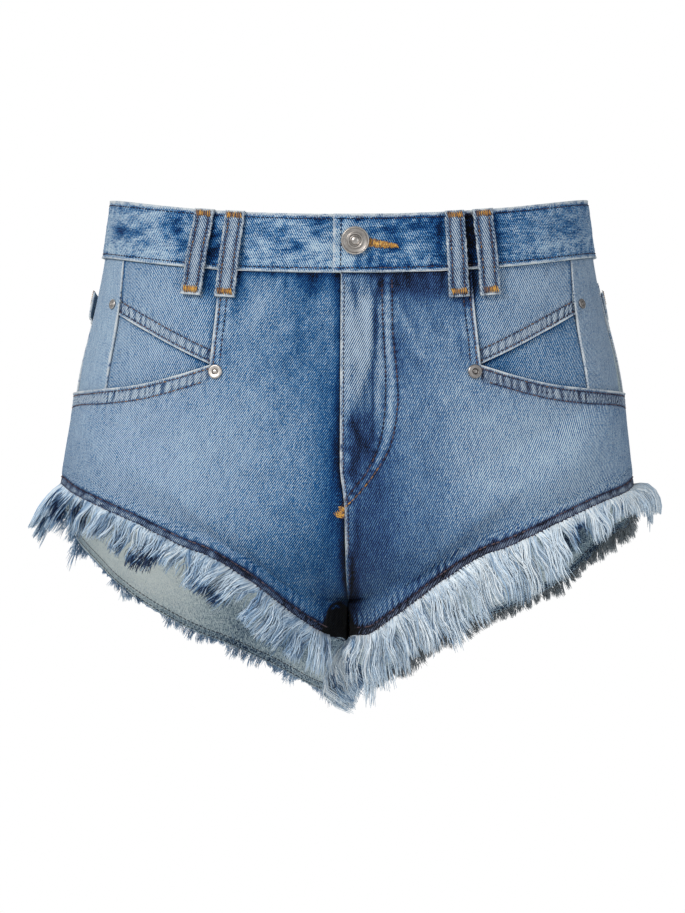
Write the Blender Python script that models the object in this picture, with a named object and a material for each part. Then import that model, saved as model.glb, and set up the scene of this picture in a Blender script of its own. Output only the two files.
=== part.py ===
"""Denim shorts in their worn, hollow shape, with nobody in them. Metres, +Z up, the front towards -Y.

Left and right are the wearer's, so the left side is +X. The origin is the middle of the waist opening, half way
up the waistband at the sides: the wearer's waist holds the shorts there.

All the cloth lies on one smooth surface, the outside of the front and back panels. A place on it is two numbers:
around, 0 at the centre front or front of the inseam, 0.5 at the side and 1 at the centre back or back of the
inseam, and down, 0 at the waistband's lower edge and 1 at the hem. Each cut piece is a patch of that surface,
moved out or in by a few tenths of a millimetre or more, and given its thickness inwards.
"""

import math

import bmesh
import bpy
from mathutils import Vector

LEFT, RIGHT = 1, -1
SIDE_NAMES = {LEFT: "left", RIGHT: "right"}

# Cloth and seams
CLOTH = 0.0012  # one layer of denim
BAND_CLOTH = 0.0024  # the waistband is folded double
SEAM_GAP = 0.0003
SEAM_GAP_AROUND = 0.0004  # half of that gap at an upright seam, as a share of the way around
RIDGE = 0.0006  # how far a felled or turned edge stands up
LOW_RIDGE = 0.6 * RIDGE  # a hem's, or a flatter seam's
WAIST = 0.1492  # half the width where the waistband meets the panels

# The body's level sections, from hem to waist: (height, half width, depth in front, depth behind)
SECTIONS = (
    (-0.290, 0.1785, 0.096, 0.113),
    (-0.200, 0.1770, 0.102, 0.125),
    (-0.155, 0.1746, 0.105, 0.129),
    (-0.120, 0.1702, 0.105, 0.127),
    (-0.085, 0.1652, 0.103, 0.120),
    (-0.050, 0.1562, 0.100, 0.110),
    (-0.0175, WAIST, 0.096, 0.101),
    (0.020, 0.1441, 0.092, 0.096),
)
ROUNDNESS = 0.85  # 1 is an ellipse, and less is squarer

# The cut edge of each leg: (around, height)
HEM = (
    (0.00, -0.2580),
    (0.05, -0.2485),
    (0.10, -0.2450),
    (0.15, -0.2320),
    (0.20, -0.2135),
    (0.25, -0.1955),
    (0.32, -0.1765),
    (0.40, -0.1630),
    (0.50, -0.1575),
    (0.53, -0.1790),
    (0.56, -0.1930),
    (0.60, -0.2050),
    (0.65, -0.2220),
    (0.70, -0.2385),
    (0.80, -0.2675),
    (0.90, -0.2850),
    (0.95, -0.2770),
    (1.00, -0.2580),
)
LEFT_BACK_HEM_LIFT = 0.016  # how much higher the left leg's back hem sits between the side and the inseam

# The crotch: the rise seam turns under on a quarter ellipse, and the inseam runs on down from it
TURN_DOWN, TURN_HEIGHT = 0.55, -0.165
CROTCH_DOWN, CROTCH_HEIGHT = 0.93, -0.226
CROTCH_BACK = 0.008  # how far behind the middle the crotch lies
RISE_REACH = 0.16  # the share of the way around that the rise seam's curve reaches
THIGH_GAP = 0.0016  # from the middle to each leg at the inseam's hem
LEG_DEPTH = 0.95  # a leg's depth as a share of the body's
HIP_FILL = 0.12  # how much fuller, as a share of the depth, the seat and thighs are where body turns into legs

# Waistband
BAND_HEIGHT = 0.035
BAND_OUT = 0.0013  # how far it stands out past the panels
BAND_CROWN = 0.0004
FRONT_DIP, BACK_DIP = 0.012, 0.004
BAND_END = 0.007  # how far the left end passes the centre
BAND_UNDERLAP = 0.016  # how far the right end runs on beneath it
BAND_STEP = (0.009, 0.028)  # where the right end drops beneath the left one, from the centre
BAND_DROP, BAND_LIFT = -0.0006, 0.001  # how far out the right end lies there, and how much further the left one

# Fly
FLY_PAST_CENTRE = 0.0025
FLY_END_HEIGHT = -0.172
ZIP_HALF_WIDTH, ZIP_OUT, ZIP_CLOTH = 0.011, -0.0017, 0.001
ZIP_STOPS_SHORT = 0.010  # above the fly's lower end
UNDERLAP_REACH, UNDERLAP_OUT = 0.020, -0.0031

# Front pockets, as places seen from the front: (across, height)
POCKET_SEAM = ((0.0745, -0.0290), (0.0800, -0.0840))
MOUTH = ((0.0800, -0.0840), (0.1000, -0.0900), (0.1220, -0.0952), (0.1450, -0.0977))
MOUTH_AT_SIDE = ((0.500, -0.1000), (0.540, -0.1000))  # (around, height)
COIN_EDGE = ((0.0815, -0.0830), (0.1380, -0.0525))
FORWARD_SEAM = ((0.1346, -0.0225), (0.1378, -0.0528), (0.1418, -0.0750), (0.1456, -0.0965))
SIDE_SEAM = 0.52
UNDER_MOUTH = 0.009  # how far the facing and the side panel run on below the mouth
UNDER_MOUTH_ROWS = (1.0, 1.25, 2.0)  # at the mouth, just beneath it and at the tucked-in edge
UNDER_COIN = 0.006  # how far the facing runs on above the coin pocket's edge
UNDER_SIDE = 0.012  # how far it runs beneath the side panel and the front, as a share of the way around
COIN_OUT, COIN_SINK = -0.0003, 0.0012
MOUTH_CLEARANCE = 0.0006  # how much further in a piece lies where it runs on beneath the mouth
SIDE_SINK = 0.0012  # how much further than the coin pocket the side panel sinks towards the side
FACING_BELOW = 0.0017  # from the coin pocket's outside to the facing's

# Back
YOKE_SIDE_HEIGHT, YOKE_CENTRE_HEIGHT = -0.032, -0.070
BACK_POCKET_AROUND = (0.534, 0.910)
BACK_POCKET_TAPER = 0.035
BACK_POCKET_TOP = (-0.038, -0.076)
BACK_POCKET_BOTTOM, BACK_POCKET_POINT = -0.158, 0.014
BACK_POCKET_HEM, BACK_POCKET_HEM_END = 0.12, 0.16  # the share of its height that its standing-off top hem takes
BACK_POCKET_GAPE = {LEFT: 0.0008, RIGHT: 0.0030}  # how far the hem stands off at the pocket's outer corner

# Belt loops: (name, side, across at the top, across at the bottom, at the back)
LOOPS = (
    ("belt_loop_inner_left", LEFT, 0.0654, 0.0647, False),
    ("belt_loop_outer_left", LEFT, 0.0821, 0.0826, False),
    ("belt_loop_back_left", LEFT, 0.0110, 0.0122, True),
    ("belt_loop_inner_right", RIGHT, 0.0660, 0.0685, False),
    ("belt_loop_outer_right", RIGHT, 0.0844, 0.0882, False),
    ("belt_loop_back_right", RIGHT, 0.0110, 0.0122, True),
)
LOOP_WIDTH, LOOP_CLOTH = 0.0114, 0.0014
LOOP_CLEAR, LOOP_STANDS_OFF = 0.00036, 0.0026  # from the band: at the ends, and how much more in the middle
LOOP_PAST_TOP = 0.0004
LOOP_PAST_BAND = 0.0163
LOOP_END, LOOP_END_CLOTH = 0.006, 0.0024

# Fringe on each panel's hem: (panel, side, locks, steps, length, length at the side, how far the locks lean out
# at the side for each unit down)
FRINGE = (
    ("front", LEFT, 50, 2, 0.0300, 0.0165, 1.10),
    ("front", RIGHT, 50, 2, 0.0245, 0.0215, 1.10),
    ("back", LEFT, 36, 1, 0.0070, 0.0070, 0.50),
    ("back", RIGHT, 36, 1, 0.0085, 0.0085, 0.50),
)
FRINGE_GAP = 0.0007
FRINGE_FLARE = 0.14
STRIP_HEIGHT = 0.0025
STRIP_CLOTH = 0.0012
LOCK_SHARE = 0.78  # of the spacing that a lock fills at its root
LOCK_TIP = 0.35
LOCK_DROOP = 0.35  # how much the lower half of a lock turns down
FRINGE_END = 0.004  # from the panel's corner to the strip's end, as a share of the way around
LOCK_UNEVENNESS = ((2.4, 0.7, 0.22), (5.3, 1.0, 0.13))  # (step from lock to lock, phase, share of the length)

# Large soft folds: (side, panel, across, height, to across, to height, half width, rise)
FOLDS = (
    (LEFT, "front", 0.022, -0.040, 0.026, -0.150, 0.0120, -0.0016),
    (LEFT, "front", 0.052, -0.168, 0.016, -0.222, 0.0130, 0.0020),
    (LEFT, "front", 0.020, -0.150, 0.012, -0.215, 0.0110, -0.0018),
    (RIGHT, "front", 0.056, -0.162, 0.016, -0.226, 0.0130, 0.0020),
    (RIGHT, "front", 0.022, -0.130, 0.012, -0.214, 0.0120, -0.0020),
    (LEFT, "back", 0.020, -0.180, 0.120, -0.212, 0.0130, -0.0024),
    (RIGHT, "back", 0.024, -0.178, 0.118, -0.226, 0.0130, -0.0024),
    (LEFT, "back", 0.016, -0.205, 0.074, -0.246, 0.0110, -0.0016),
    (RIGHT, "back", 0.014, -0.205, 0.078, -0.254, 0.0110, -0.0016),
)
HEM_WAVES = ((3.0, 0.4, 0.0016), (7.0, 1.7, 0.0010))  # (waves, phase, rise) along the hem
HEM_WAVE_START = 0.6

# Metal
BUTTON_PLACE = (0.0061, -0.0106)
BUTTON_PROFILE = (
    (0.0, 0.0000), (0.0031, 0.0000), (0.0031, 0.0013), (0.0078, 0.0014), (0.0084, 0.0021),
    (0.0083, 0.0029), (0.0077, 0.0032), (0.0071, 0.0027), (0.0047, 0.0026), (0.0041, 0.0031),
    (0.0032, 0.0026), (0.0, 0.0029),
)
BUTTON_SIDES = 20
MOUTH_RIVET, COIN_RIVET = (0.0767, -0.0880), (0.1412, -0.0465)
RIVET_PROFILE = (
    (0.0, 0.0000), (0.0043, 0.0000), (0.0042, 0.0006), (0.0036, 0.0010), (0.0019, 0.0009),
    (0.0016, 0.0004), (0.0011, 0.0011), (0.0, 0.0013),
)
RIVET_SIDES = 12
COIN_RIVET_SCALE = 0.72

FINISHES = {  # colour, roughness, metallic
    "denim": ((0.16, 0.27, 0.42), 0.9, 0.0),
    "band_denim": ((0.13, 0.23, 0.38), 0.9, 0.0),
    "loop_denim": ((0.28, 0.36, 0.46), 0.9, 0.0),
    "fringe": ((0.50, 0.58, 0.66), 0.95, 0.0),
    "zip": ((0.05, 0.07, 0.11), 0.6, 0.0),
    "metal": ((0.50, 0.47, 0.43), 0.35, 1.0),
}


# ---------------------------------------------------------------- numbers


def ramp(value, start, end):
    """0 before start, 1 after end, and smooth between them."""
    share = min(1.0, max(0.0, (value - start) / (end - start)))
    return share * share * (3 - 2 * share)


def mix(a, b, share):
    return a + (b - a) * share


def power(value, exponent):
    return math.copysign(abs(value) ** exponent, value)


def spaced(start, end, count):
    return [mix(start, end, i / count) for i in range(count + 1)]


def smooth_curve(rows, column, at):
    """The column's value where the first column is at, on a smooth curve through the rows."""
    if at <= rows[0][0]:
        return rows[0][column]
    if at >= rows[-1][0]:
        return rows[-1][column]
    i = next(n for n in range(1, len(rows)) if rows[n][0] >= at)

    def slope(n):
        low, high = max(n - 1, 0), min(n + 1, len(rows) - 1)
        return (rows[high][column] - rows[low][column]) / (rows[high][0] - rows[low][0])

    length = rows[i][0] - rows[i - 1][0]
    share = (at - rows[i - 1][0]) / length
    squared, cubed = share**2, share**3
    return (
        (2 * cubed - 3 * squared + 1) * rows[i - 1][column]
        + (cubed - 2 * squared + share) * length * slope(i - 1)
        + (3 * squared - 2 * cubed) * rows[i][column]
        + (cubed - squared) * length * slope(i)
    )


def solve(function, target, low, high):
    """Where a steadily changing function reaches the target."""
    rising = function(high) > function(low)
    for _ in range(34):
        middle = (low + high) / 2
        if (function(middle) < target) == rising:
            low = middle
        else:
            high = middle
    return (low + high) / 2


# ---------------------------------------------------------------- the garment's surface


def band_middle(around):
    """The height of the waistband's middle line."""
    level = math.cos(math.pi * around)
    return -(FRONT_DIP if level > 0 else BACK_DIP) * level**2


def turn_angle(down):
    """How far the rise seam has turned under: 0 while it's upright and a right angle at the crotch."""
    share = (down - TURN_DOWN) / (CROTCH_DOWN - TURN_DOWN)
    return math.pi / 2 * min(1.0, max(0.0, share))


def rise_height(top, hem, down):
    """The height along the rise seam and, below the crotch, along the inseam."""
    if down < TURN_DOWN:
        return mix(top, TURN_HEIGHT, down / TURN_DOWN)
    if down < CROTCH_DOWN:
        return mix(TURN_HEIGHT, CROTCH_HEIGHT, math.sin(turn_angle(down)))
    return mix(CROTCH_HEIGHT, hem, (down - CROTCH_DOWN) / (1 - CROTCH_DOWN))


def hem_height(side, around):
    lift = LEFT_BACK_HEM_LIFT if side == LEFT else 0.0
    return smooth_curve(HEM, 1, around) + lift * ramp(around, 0.5, 0.6) * ramp(1 - around, 0.0, 0.22)


def height_at(side, around, down):
    top, hem = band_middle(around) - BAND_HEIGHT / 2, hem_height(side, around)
    near_rise = 1 - ramp(min(around, 1 - around), 0.0, RISE_REACH)
    return mix(mix(top, hem, down), rise_height(top, hem, down), near_rise)


def surface(side, around, down):
    """A point of the surface, with across measured from the middle towards its own side."""
    if around < 0 or around > 1:
        if down < CROTCH_DOWN:  # past the middle is the other half
            point = surface(side, -around if around < 0 else 2 - around, down)
            return Vector((-point.x, point.y, point.z))
        around = around % 1.0  # round the leg
    height = height_at(side, around, down)
    half_width, front, back = (smooth_curve(SECTIONS, n, height) for n in (1, 2, 3))
    depth = front if around < 0.5 else back
    angle = math.pi * around
    body = Vector(
        (
            half_width * power(math.sin(angle), ROUNDNESS),
            -depth * power(math.cos(angle), ROUNDNESS),
            height,
        )
    )
    below_crotch = max(0.0, (down - CROTCH_DOWN) / (1 - CROTCH_DOWN))
    inside = THIGH_GAP * (1 - (1 - below_crotch) ** 2)
    leg = Vector(
        (
            inside + (half_width - inside) / 2 * (1 - power(math.cos(2 * angle), ROUNDNESS)),
            CROTCH_BACK - LEG_DEPTH * depth * power(math.sin(2 * angle), ROUNDNESS),
            height,
        )
    )
    leg_share = 1 - math.cos(turn_angle(down))
    point = body.lerp(leg, leg_share)
    fill = HIP_FILL * depth * math.sin(math.pi * leg_share**0.6)
    point.y -= fill * power(math.sin(2 * angle), ROUNDNESS)
    return point


def outward(side, around, down):
    """The surface's unit normal, pointing away from the wearer."""
    step_around, step_down = 0.008, 0.012
    along = surface(side, around + step_around, down) - surface(side, around - step_around, down)
    low, high = max(down - step_down, 0.0), min(down + step_down, 1.0)
    return along.cross(surface(side, around, low) - surface(side, around, high)).normalized()


def fold_rise(side, around, down, point):
    """How far the large folds and the hem's waves lift the cloth there."""
    rise = 0.0
    panel = "front" if around < SIDE_SEAM else "back"
    for fold_side, fold_panel, x0, z0, x1, z1, half_width, height in FOLDS:
        if fold_panel != panel:
            continue
        start, run = Vector((x0, z0)), Vector((x1 - x0, z1 - z0))
        place = Vector((point.x * side * fold_side, point.z)) - start
        share = place.dot(run) / run.length_squared
        off = (place - run * share).length / half_width
        if 0 < share < 1 and off < 2:
            rise += height * math.sin(math.pi * share) * math.exp(-1.5 * off**2)
    wave_share = ramp(down, HEM_WAVE_START, 1.0) * ramp(min(around, 1 - around), 0.03, 0.12)
    for waves, phase, height in HEM_WAVES:
        rise += wave_share * height * math.sin(2 * math.pi * waves * around + phase * side)
    return rise


def on_cloth(side, around, down, out):
    """A point that distance out from the surface, with the folds, in the garment's frame."""
    point = surface(side, around, down)
    point += outward(side, around, down) * (out + fold_rise(side, around, down, point))
    return Vector((point.x * side, point.y, point.z))


def down_to(side, around, height):
    """How far down the surface that height lies."""
    return solve(lambda down: height_at(side, around, down), height, 0.0, 1.0)


def around_for(across):
    """How far around the waist a place that far from the middle lies."""
    return math.copysign(math.asin((abs(across) / WAIST) ** (1 / ROUNDNESS)) / math.pi, across)


def place_of(side, across, height, at_back=False):
    """(around, down) of the place seen from the front, or the back, that far from the middle and that high."""

    def across_at(around):
        return surface(side, around, down_to(side, around, height)).x

    around = solve(across_at, across, *((1.0, 0.5) if at_back else (0.0, 0.5)))
    return around, down_to(side, around, height)


# ---------------------------------------------------------------- solids


def material(slot):
    made = bpy.data.materials.get(slot)
    if made is None:
        colour, roughness, metallic = FINISHES[slot]
        made = bpy.data.materials.new(slot)
        made.use_nodes = True
        shader = made.node_tree.nodes["Principled BSDF"]
        shader.inputs["Base Color"].default_value = (*colour, 1.0)
        shader.inputs["Roughness"].default_value = roughness
        shader.inputs["Metallic"].default_value = metallic
        made.diffuse_color = (*colour, 1.0)
    return made


def add_object(name, slot, mesh_data):
    """Turns a bmesh into a named object with its material, held by the waist's empty."""
    bmesh.ops.recalc_face_normals(mesh_data, faces=mesh_data.faces)
    mesh = bpy.data.meshes.new(name)
    mesh_data.to_mesh(mesh)
    mesh_data.free()
    mesh.materials.append(material(slot))
    mesh.shade_smooth()
    mesh.set_sharp_from_angle(angle=math.radians(40))
    made = bpy.data.objects.new(name, mesh)
    made.parent = bpy.data.objects["waist"]
    bpy.context.scene.collection.objects.link(made)
    return made


def thick_sheet(name, slot, outer, inner, absent=None):
    """A closed wall between two equal grids of points. absent(row, column) leaves a cell out."""
    mesh_data = bmesh.new()
    rows, columns = len(outer), len(outer[0])
    cells = {
        (i, j)
        for i in range(rows - 1)
        for j in range(columns - 1)
        if not (absent and absent(i, j))
    }
    made = {}

    def vertex(layer, i, j):
        key = (layer, i, j)
        if key not in made:
            made[key] = mesh_data.verts.new((outer, inner)[layer][i][j])
        return made[key]

    for i, j in sorted(cells):
        corners = ((i, j), (i, j + 1), (i + 1, j + 1), (i + 1, j))
        for layer in (0, 1):
            mesh_data.faces.new([vertex(layer, *c) for c in corners])
        beyond = ((i - 1, j), (i, j + 1), (i + 1, j), (i, j - 1))
        for n, neighbour in enumerate(beyond):
            if neighbour not in cells:
                a, b = corners[n], corners[(n + 1) % 4]
                rim = (vertex(0, *a), vertex(0, *b), vertex(1, *b), vertex(1, *a))
                mesh_data.faces.new(rim)
    return add_object(name, slot, mesh_data)


def cloth_panel(name, side, slot, columns, rows, where, out, wall=CLOTH, absent=None, nudge=None):
    """A piece of cloth on the garment's surface. where(u, v) gives (around, down) and out(u, v) how far out it
    lies, for u across the columns and v down the rows. nudge(u) moves a seam's edge clear of its neighbour."""
    outer, inner = [], []
    for v in rows:
        for grid, depth in ((outer, 0.0), (inner, wall)):
            line = []
            for u in columns:
                point = on_cloth(side, *where(u, v), out(u, v) - depth)
                if nudge:
                    move = nudge(u)
                    point += Vector((move.x * side, move.y, move.z))
                line.append(point)
            grid.append(line)
    return thick_sheet(name, slot, outer, inner, absent)


def turned(name, slot, profile, sides, scale=1.0):
    """A turned piece on the local Z axis, from its (radius, height) profile."""
    mesh_data = bmesh.new()
    points = [mesh_data.verts.new((r * scale, 0.0, h * scale)) for r, h in profile]
    edges = [mesh_data.edges.new(pair) for pair in zip(points, points[1:])]
    bmesh.ops.spin(
        mesh_data, geom=points + edges, cent=(0, 0, 0), axis=(0, 0, 1), angle=2 * math.pi, steps=sides
    )
    bmesh.ops.remove_doubles(mesh_data, verts=mesh_data.verts, dist=0.00001)
    return add_object(name, slot, mesh_data)


def stand_on_cloth(piece, point, normal):
    """Puts a turned piece's base at the point, facing out."""
    piece.location = point
    piece.rotation_mode = "QUATERNION"
    piece.rotation_quaternion = normal.to_track_quat("Z", "Y")


# ---------------------------------------------------------------- front


class FrontPlan:
    """Where one half's front seams and pocket edges run on the surface."""

    def __init__(self, side):
        self.side = side
        self.seam = [place_of(side, *p) for p in POCKET_SEAM]
        self.mouth = [(place_of(side, *p)[0], p[1]) for p in MOUTH] + list(MOUTH_AT_SIDE)
        self.forward = [place_of(side, *p)[::-1] for p in FORWARD_SEAM]
        self.coin = [place_of(side, *p) for p in COIN_EDGE]
        self.fly_end = down_to(side, 0.0, FLY_END_HEIGHT)

    def centre_edge(self, down):
        """The centre seam, which the fly carries a little way past the middle towards the right."""
        past = FLY_PAST_CENTRE * (1 - ramp(down, self.fly_end - 0.12, self.fly_end))
        return -self.side * around_for(past)

    def pocket_seam(self, down):
        (a0, d0), (a1, d1) = self.seam
        return mix(a0, a1, min(1.0, max(0.0, (down - d0) / (d1 - d0))))

    def mouth_down(self, around):
        return down_to(self.side, around, smooth_curve(self.mouth, 1, around))

    def forward_seam(self, down):
        return smooth_curve(self.forward, 1, down)

    def coin_down(self, around):
        (a0, d0), (a1, d1) = self.coin
        return mix(d0, d1, (around - a0) / (a1 - a0))

    def below(self, around, down, distance):
        """How far down it is a distance below that place."""
        return down_to(self.side, around, height_at(self.side, around, down) - distance)

    def tucked_under(self, around, row):
        """How far down the edges that run on beneath the mouth lie, for rows past 1."""
        mouth = self.mouth_down(max(around, self.seam[1][0]))
        return self.below(around, mouth, (row - 1) * UNDER_MOUTH)

    def sink(self, around, down):
        """0 at the waistband and 1 at the pocket's mouth."""
        return min(1.2, down / self.mouth_down(max(around, self.seam[1][0])))

    def coin_out(self, around, down):
        sink = self.sink(around, down)
        return COIN_OUT - COIN_SINK * sink - MOUTH_CLEARANCE * ramp(sink, 1.0, 1.04)

    def side_out(self, around, down):
        towards_side = ramp(around, self.forward_seam(down), 0.5)
        return self.coin_out(around, down) - SIDE_SINK * towards_side * self.sink(around, down)


def build_front(plan):
    """The front panel: from the fly to the side seam, with the pocket's corner cut out of it. Returns how far
    around its hem's points are."""
    side, name = plan.side, SIDE_NAMES[plan.side]
    to_seam = [0.0, 0.05, 0.16, 0.32, 0.48, 0.66, 0.84, 0.96, 1.0]
    past_seam = [0.04, 0.14, 0.25, 0.35, 0.44, 0.51, 0.58, 0.65, 0.72, 0.80, 0.90, 1.0]
    columns = to_seam + [1 + share for share in past_seam]
    rows = spaced(0.0, 0.95, 4) + [1.0] + [1 + share for share in (0.03, 0.12, 0.24, 0.36)]
    rows += [1 + share for share in (0.48, 0.58, 0.67, 0.75, 0.82, 0.88, 0.93, 0.97, 1.0)]
    seam_column, mouth_row = columns.index(1.0), rows.index(1.0)

    def where(u, v):
        level = plan.seam[1][1] * min(v, 1.0) if v <= 1 else mix(plan.seam[1][1], 1.0, v - 1)
        seam = plan.pocket_seam(level)
        if u <= 1:
            around = mix(plan.centre_edge(level), seam, u)
        else:
            around = mix(seam, SIDE_SEAM - SEAM_GAP_AROUND, u - 1)
        mouth = plan.mouth_down(max(around, plan.seam[1][0]))
        return around, (mouth * v if v <= 1 else mix(mouth, 1.0, v - 1))

    def out(u, v):
        at_fly = (side == LEFT) * (1 - ramp(u, 0.02, 0.12)) * (1 - ramp(v, 1.9, 2.0))
        at_pocket = (1 - ramp(abs(u - 1), 0.02, 0.06)) * (v <= 1)
        at_mouth = (1 - ramp(v, 1.0, 1.05)) * (u >= 1) * (v >= 1)
        at_hem = ramp(v, 1.95, 2.0)
        return max(RIDGE * max(at_fly, at_pocket, at_mouth), LOW_RIDGE * at_hem)

    def nudge(u):
        clear = SEAM_GAP / 2 if u == 0 else 0.0
        return Vector((clear, -clear, 0.0))

    cloth_panel(
        f"front_{name}", side, "denim", columns, rows, where, out,
        absent=lambda i, j: i < mouth_row and j >= seam_column, nudge=nudge,
    )
    return [where(u, 2.0)[0] for u in columns]


def build_coin_pocket(plan):
    """The upper pocket panel, whose slanting lower edge is the coin pocket's mouth."""

    def where(u, v):
        level = v * plan.coin[0][1]
        start = plan.pocket_seam(level) + 3 * SEAM_GAP_AROUND
        around = mix(start, plan.forward_seam(level) - SEAM_GAP_AROUND, u)
        return around, v * plan.coin_down(around)

    def out(u, v):
        return plan.coin_out(*where(u, v)) + 0.5 * RIDGE * (v == 1)

    columns, rows = spaced(0.0, 1.0, 8), [0.0, 0.25, 0.5, 0.75, 0.96, 1.0]
    cloth_panel(f"coin_pocket_{SIDE_NAMES[plan.side]}", plan.side, "denim", columns, rows, where, out)


def build_facing(plan):
    """The facing behind both mouths, which runs on beneath the pieces round it."""

    def where(u, v):
        start, end = plan.seam[1][0] - UNDER_SIDE, plan.forward[-1][1] + UNDER_SIDE
        around = mix(start, end, u)
        top = plan.below(around, plan.coin_down(around), -UNDER_COIN)
        mouth = plan.mouth_down(max(around, plan.seam[1][0]))
        return around, (mix(top, mouth, v) if v <= 1 else plan.tucked_under(around, v))

    def out(u, v):
        return plan.coin_out(*where(u, v)) - FACING_BELOW

    columns, rows = spaced(0.0, 1.0, 10), [0.0, 0.5, *UNDER_MOUTH_ROWS]
    cloth_panel(f"pocket_facing_{SIDE_NAMES[plan.side]}", plan.side, "denim", columns, rows, where, out)


def build_side_panel(plan):
    """The side piece between the forward seam and the side seam, tucked in beneath the mouth."""

    def where(u, v):
        level = min(v, 1.0) * plan.forward[-1][0]
        around = mix(plan.forward_seam(level) + SEAM_GAP_AROUND, SIDE_SEAM - SEAM_GAP_AROUND, u)
        return around, (v * plan.mouth_down(around) if v <= 1 else plan.tucked_under(around, v))

    def out(u, v):
        around, down = where(u, v)
        seam_ridge = (1 - ramp(u, 0.02, 0.1)) * max(0.0, 1 - plan.sink(around, down))
        return plan.side_out(around, down) + LOW_RIDGE * seam_ridge

    columns, rows = [0.0, 0.06, 0.25, 0.5, 0.75, 1.0], [*spaced(0.0, 0.84, 5), *UNDER_MOUTH_ROWS]
    cloth_panel(f"side_panel_{SIDE_NAMES[plan.side]}", plan.side, "denim", columns, rows, where, out)


def build_fly(plan):
    """The closed zip and the underlap that cover the fly's opening from inside."""
    foot = plan.below(0.0, plan.fly_end, -ZIP_STOPS_SHORT)
    head = plan.below(0.0, 0.0, SEAM_GAP)

    def strip(name, slot, half_width, out, wall):
        reach = around_for(half_width)
        cloth_panel(
            name, LEFT, slot, spaced(-reach, reach, 4), spaced(head, foot, 9),
            lambda u, v: (u, v), lambda u, v: out, wall,
        )

    strip("zip", "zip", ZIP_HALF_WIDTH, ZIP_OUT, ZIP_CLOTH)
    strip("fly_underlap", "denim", UNDERLAP_REACH, UNDERLAP_OUT, CLOTH)


# ---------------------------------------------------------------- back


def yoke_down(side, around):
    share = (around - SIDE_SEAM) / (1 - SIDE_SEAM)
    return down_to(side, around, mix(YOKE_SIDE_HEIGHT, YOKE_CENTRE_HEIGHT, share))


def back_nudge(u):
    clear = SEAM_GAP / 2 if u == 1 else 0.0
    return Vector((clear, clear, 0.0))


def build_back(side):
    """The yoke, the back panel and its patch pocket. Returns how far around the hem's points are."""
    name = SIDE_NAMES[side]
    start = SIDE_SEAM + SEAM_GAP_AROUND

    def where_yoke(u, v):
        around = mix(start, 1.0, u)
        foot = down_to(side, around, height_at(side, around, yoke_down(side, around)) + SEAM_GAP)
        return around, foot * v

    def where_back(u, v):
        around = mix(start, 1.0, u)
        return around, mix(yoke_down(side, around), 1.0, v)

    def back_out(u, v):
        at_side, at_yoke = 1 - ramp(u, 0.01, 0.05), 1 - ramp(v, 0.01, 0.05)
        at_centre = ramp(u, 0.93, 0.98) * (side == LEFT)
        return max(RIDGE * max(at_side, at_yoke, at_centre), LOW_RIDGE * ramp(v, 0.9, 1.0))

    yoke_columns = [0.0, 0.04, 0.12, 0.22, 0.33, 0.44, 0.55, 0.66, 0.77, 0.88, 1.0]
    cloth_panel(
        f"yoke_{name}", side, "denim", yoke_columns, spaced(0.0, 1.0, 3), where_yoke,
        lambda u, v: COIN_OUT, nudge=back_nudge,
    )
    columns = [0.0, 0.03, 0.1, 0.18, 0.26, 0.34, 0.42, 0.5, 0.58, 0.66, 0.74, 0.81, 0.87, 0.92, 0.97, 1.0]
    rows = [0.0, 0.04, 0.15, 0.27, 0.39, 0.5, 0.6, 0.69, 0.77, 0.84, 0.9, 0.95, 1.0]
    cloth_panel(f"back_{name}", side, "denim", columns, rows, where_back, back_out, nudge=back_nudge)

    def where_pocket(u, v):
        inset = BACK_POCKET_TAPER * v
        around = mix(BACK_POCKET_AROUND[0] + inset, BACK_POCKET_AROUND[1] - inset, u)
        top = mix(*BACK_POCKET_TOP, u)
        foot = BACK_POCKET_BOTTOM - BACK_POCKET_POINT * (1 - abs(2 * u - 1))
        return around, down_to(side, around, mix(top, foot, v))

    def pocket_out(u, v):
        at_hem = 1 - ramp(v, BACK_POCKET_HEM, BACK_POCKET_HEM_END)
        gape = BACK_POCKET_GAPE[side] * at_hem * (0.25 + 0.75 * (1 - ramp(u, 0.0, 0.4)))
        return CLOTH + 1.5 * SEAM_GAP + RIDGE + gape

    rows = [0.0, BACK_POCKET_HEM, *spaced(BACK_POCKET_HEM_END, 1.0, 6)]
    cloth_panel(f"back_pocket_{name}", side, "denim", spaced(0.0, 1.0, 12), rows, where_pocket, pocket_out)
    return [where_back(u, 1.0)[0] for u in columns]


# ---------------------------------------------------------------- waistband and loops


def band_point(side, around, up, out):
    """A point of the waistband, up from 0 at its lower edge to 1 at its top."""
    height = band_middle(around) + (up - 0.5) * BAND_HEIGHT
    half_width, front, back = (smooth_curve(SECTIONS, n, height) for n in (1, 2, 3))

    def ring(at):
        depth = front if math.cos(math.pi * at) > 0 else back
        across = half_width * power(math.sin(math.pi * at), ROUNDNESS)
        return Vector((across, -depth * power(math.cos(math.pi * at), ROUNDNESS), height))

    along = (ring(around + 0.008) - ring(around - 0.008)).normalized()
    point = ring(around) + Vector((along.y, -along.x, 0.0)) * out
    return Vector((point.x * side, point.y, point.z))


def band_out(side, across):
    """How far the band's outside stands out. At the centre the left end lies on the right one."""
    if side == LEFT:
        return BAND_OUT + BAND_LIFT * (1 - ramp(across, 0.012, 0.030))
    return mix(BAND_DROP, BAND_OUT, ramp(across, *BAND_STEP))


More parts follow.
